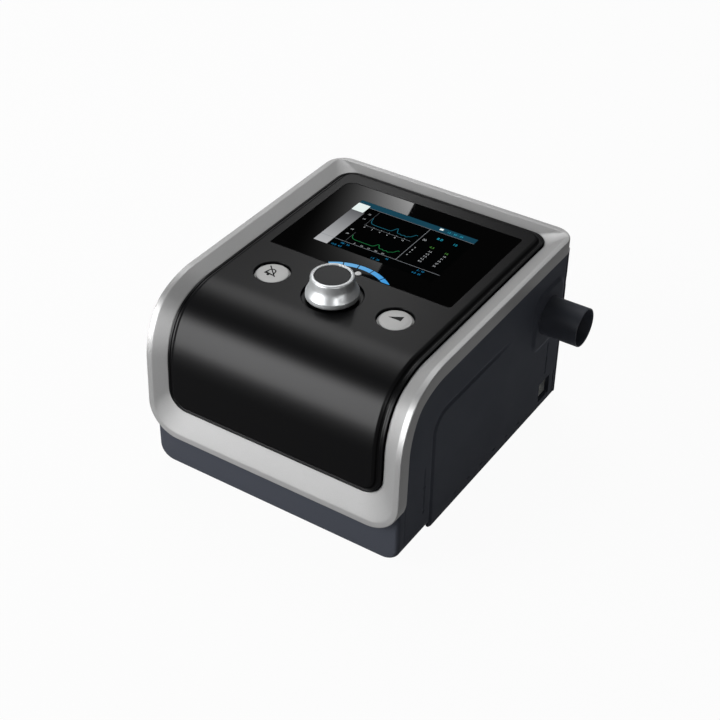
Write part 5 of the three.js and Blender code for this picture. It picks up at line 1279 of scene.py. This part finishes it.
class MACHINE_OT_stage(bpy.types.Operator):
    """A pale floor, soft lamps, a white surround and the camera"""
    bl_idname = "machine.stage"
    bl_label = "Stage"

    def execute(self, context):
        self.floor()
        self.surround(context)
        self.lamps()
        self.camera(context)
        context.scene.view_settings.view_transform = "Standard"
        return {"FINISHED"}

    def floor(self):
        """A round floor, drawn as rings. To the camera it is mostly plain white, and keeps some shadow."""
        steps = 96
        radii = np.concatenate([[0.001], np.geomspace(0.05, 6, 24)])
        turn = np.linspace(0, 2 * math.pi, steps, endpoint=False)
        points = np.stack([radii[:, None] * np.cos(turn), radii[:, None] * np.sin(turn),
                           np.zeros((len(radii), steps))], axis=-1)
        faces = band_faces(len(radii), steps, False, True)
        faces.append(list(range(steps)))
        mesh = bpy.data.meshes.new("floor")
        mesh.from_pydata(points.reshape(-1, 3).tolist(), [], faces)
        mesh.update()
        finish_mesh(mesh)
        made, tree, shader = material("matt white floor", hue("floor"), 0.9, {"Specular IOR Level": 0.0})
        share = add(tree, "ShaderNodeMath", {0: seen_share(tree), 1: FLOOR_WHITE}, operation="MULTIPLY")
        white = add(tree, "ShaderNodeEmission", {"Color": (1, 1, 1, 1)})
        mix = add(tree, "ShaderNodeMixShader", {
            0: share.outputs[0], 1: shader.outputs[0], 2: white.outputs[0]})
        tree.links.new(mix.outputs[0], tree.nodes["Material Output"].inputs["Surface"])
        mesh.materials.append(made)
        link("floor", mesh)

    def surround(self, context):
        """White where the camera, a reflection or glass sees it, and a dimmer grey as light."""
        world = bpy.data.worlds.new("surround")
        context.scene.world = world
        world.use_nodes = True
        tree = world.node_tree
        tree.nodes.clear()
        dim, bright = (add(tree, "ShaderNodeBackground", {"Color": (1, 1, 1, 1), "Strength": strength})
                       for strength in (0.1, 1.0))
        mix = add(tree, "ShaderNodeMixShader", {0: seen_share(tree), 1: dim.outputs[0], 2: bright.outputs[0]})
        add(tree, "ShaderNodeOutputWorld", {"Surface": mix.outputs[0]})

    def lamp(self, name, spot, aim, size, power, lights, along=(0, 0, 1)):
        """A soft rectangular lamp at a spot of the housing's frame, in metres, that faces another. Its height
        lies as near to the last direction as that allows."""
        back = np.subtract(spot, aim)
        back /= np.linalg.norm(back)
        right = np.cross(along, back)
        right /= np.linalg.norm(right)
        data = bpy.data.lights.new(name, "AREA")
        data.shape = "RECTANGLE"
        data.size, data.size_y = size
        data.energy = power
        lamp = stand(link(name, data), (right, np.cross(back, right), back), spot + ORIGIN)
        lamp.visible_diffuse = lights
        return lamp

    def lamps(self):
        """The lamps of the table, of which the one on the cover's bend has soft edges, and the strip that the
        window mirrors."""
        lamps = {name: self.lamp(name, *row) for name, row in LAMPS.items()}
        self.blur_edges(lamps["bend_lamp"])
        self.strip()

    def blur_edges(self, lamp):
        """Lets a lamp fade from its middle to its edges by a parabola each way: sixteen times the product of
        the shares to its left, right, top and bottom, which is one in the middle."""
        lamp.data.use_nodes = True
        tree = lamp.data.node_tree
        place_in = add(tree, "ShaderNodeNewGeometry").outputs["Parametric"]
        split = add(tree, "ShaderNodeSeparateXYZ", {"Vector": place_in})
        whole = None
        for way in ("X", "Y"):
            share = split.outputs[way]
            rest = add(tree, "ShaderNodeMath", {0: 1.0, 1: share}, operation="SUBTRACT").outputs[0]
            hump = add(tree, "ShaderNodeMath", {0: share, 1: rest}, operation="MULTIPLY").outputs[0]
            whole = add(tree, "ShaderNodeMath", {0: whole or 16.0, 1: hump}, operation="MULTIPLY").outputs[0]
        tree.links.new(whole, tree.nodes["Emission"].inputs["Strength"])

    def strip(self):
        """A flat lamp above and behind on the left, whose right edge makes the sharp edge of the window's
        sheen. It fades away from that edge and towards the front, as the square of a line each way."""
        edge = np.array(STRIP_EDGE)
        width, height = 0.13, float(np.linalg.norm(edge[0] - edge[1]))
        along = (edge[0] - edge[1]) / height
        middle = edge.mean(axis=0) - np.array([along[1], -along[0], 0]) * width / 2
        power = STRIP_RADIANCE * math.pi * width * height
        lamp = self.lamp("strip_lamp", middle, (middle[0], middle[1], 0), (width, height), power, False,
                         along)
        lamp.data.use_nodes = True
        tree = lamp.data.node_tree
        place_in = add(tree, "ShaderNodeNewGeometry").outputs["Parametric"]
        split = add(tree, "ShaderNodeSeparateXYZ", {"Vector": place_in})
        ahead = add(tree, "ShaderNodeMapRange", {"Value": split.outputs["Y"], "To Min": 0.3, "To Max": 1.0})
        both = add(tree, "ShaderNodeMath", {0: split.outputs["X"], 1: ahead.outputs["Result"]},
                   operation="MULTIPLY").outputs[0]
        square = add(tree, "ShaderNodeMath", {0: both, 1: both}, operation="MULTIPLY")
        tree.links.new(square.outputs[0], tree.nodes["Emission"].inputs["Strength"])

    def camera(self, context):
        """The camera at the photograph's angle."""
        data = bpy.data.cameras.new("camera")
        data.lens = CAMERA_LENS
        data.sensor_width = 36.0
        data.clip_end = 50
        context.scene.camera = stand(link("camera", data), CAMERA_AXES, place(CAMERA_SPOT))


OPERATORS = (
    MACHINE_OT_stage,
    MACHINE_OT_silver_frame,
    MACHINE_OT_front_cover,
    MACHINE_OT_display,
    MACHINE_OT_lights,
    MACHINE_OT_knob,
    MACHINE_OT_buttons,
    MACHINE_OT_housing,
    MACHINE_OT_inner_finishes,
)


class VIEW3D_PT_machine(bpy.types.Panel):
    """Sizes, colours and the steps that build the machine"""
    bl_label = "Breathing machine"
    bl_idname = "VIEW3D_PT_machine"
    bl_space_type = "VIEW_3D"
    bl_region_type = "UI"
    bl_category = "Machine"

    def draw(self, context):
        for group in (context.scene.machine_sizes, context.scene.machine_colours):
            box = self.layout.box()
            for name in type(group).__annotations__:
                box.prop(group, name)
        for operator in OPERATORS:
            self.layout.operator(operator.bl_idname)


CLASSES = (MachineSizes, MachineColours, *OPERATORS, VIEW3D_PT_machine)


def register():
    """Registers the classes and hangs the settings on the scene."""
    for item in CLASSES:
        bpy.utils.register_class(item)
    bpy.types.Scene.machine_sizes = bpy.props.PointerProperty(type=MachineSizes)
    bpy.types.Scene.machine_colours = bpy.props.PointerProperty(type=MachineColours)


def unregister():
    """Takes the settings and the classes away again."""
    del bpy.types.Scene.machine_colours
    del bpy.types.Scene.machine_sizes
    for item in reversed(CLASSES):
        bpy.utils.unregister_class(item)


def main():
    """Builds everything in order."""
    register()
    bpy.ops.machine.stage()
    bpy.ops.machine.silver_frame()
    bpy.ops.machine.front_cover()
    bpy.ops.machine.display()
    bpy.ops.machine.lights()
    bpy.ops.machine.knob()
    bpy.ops.machine.buttons()
    bpy.ops.machine.housing()
    bpy.ops.machine.inner_finishes()


if __name__ == "__main__":
    main()
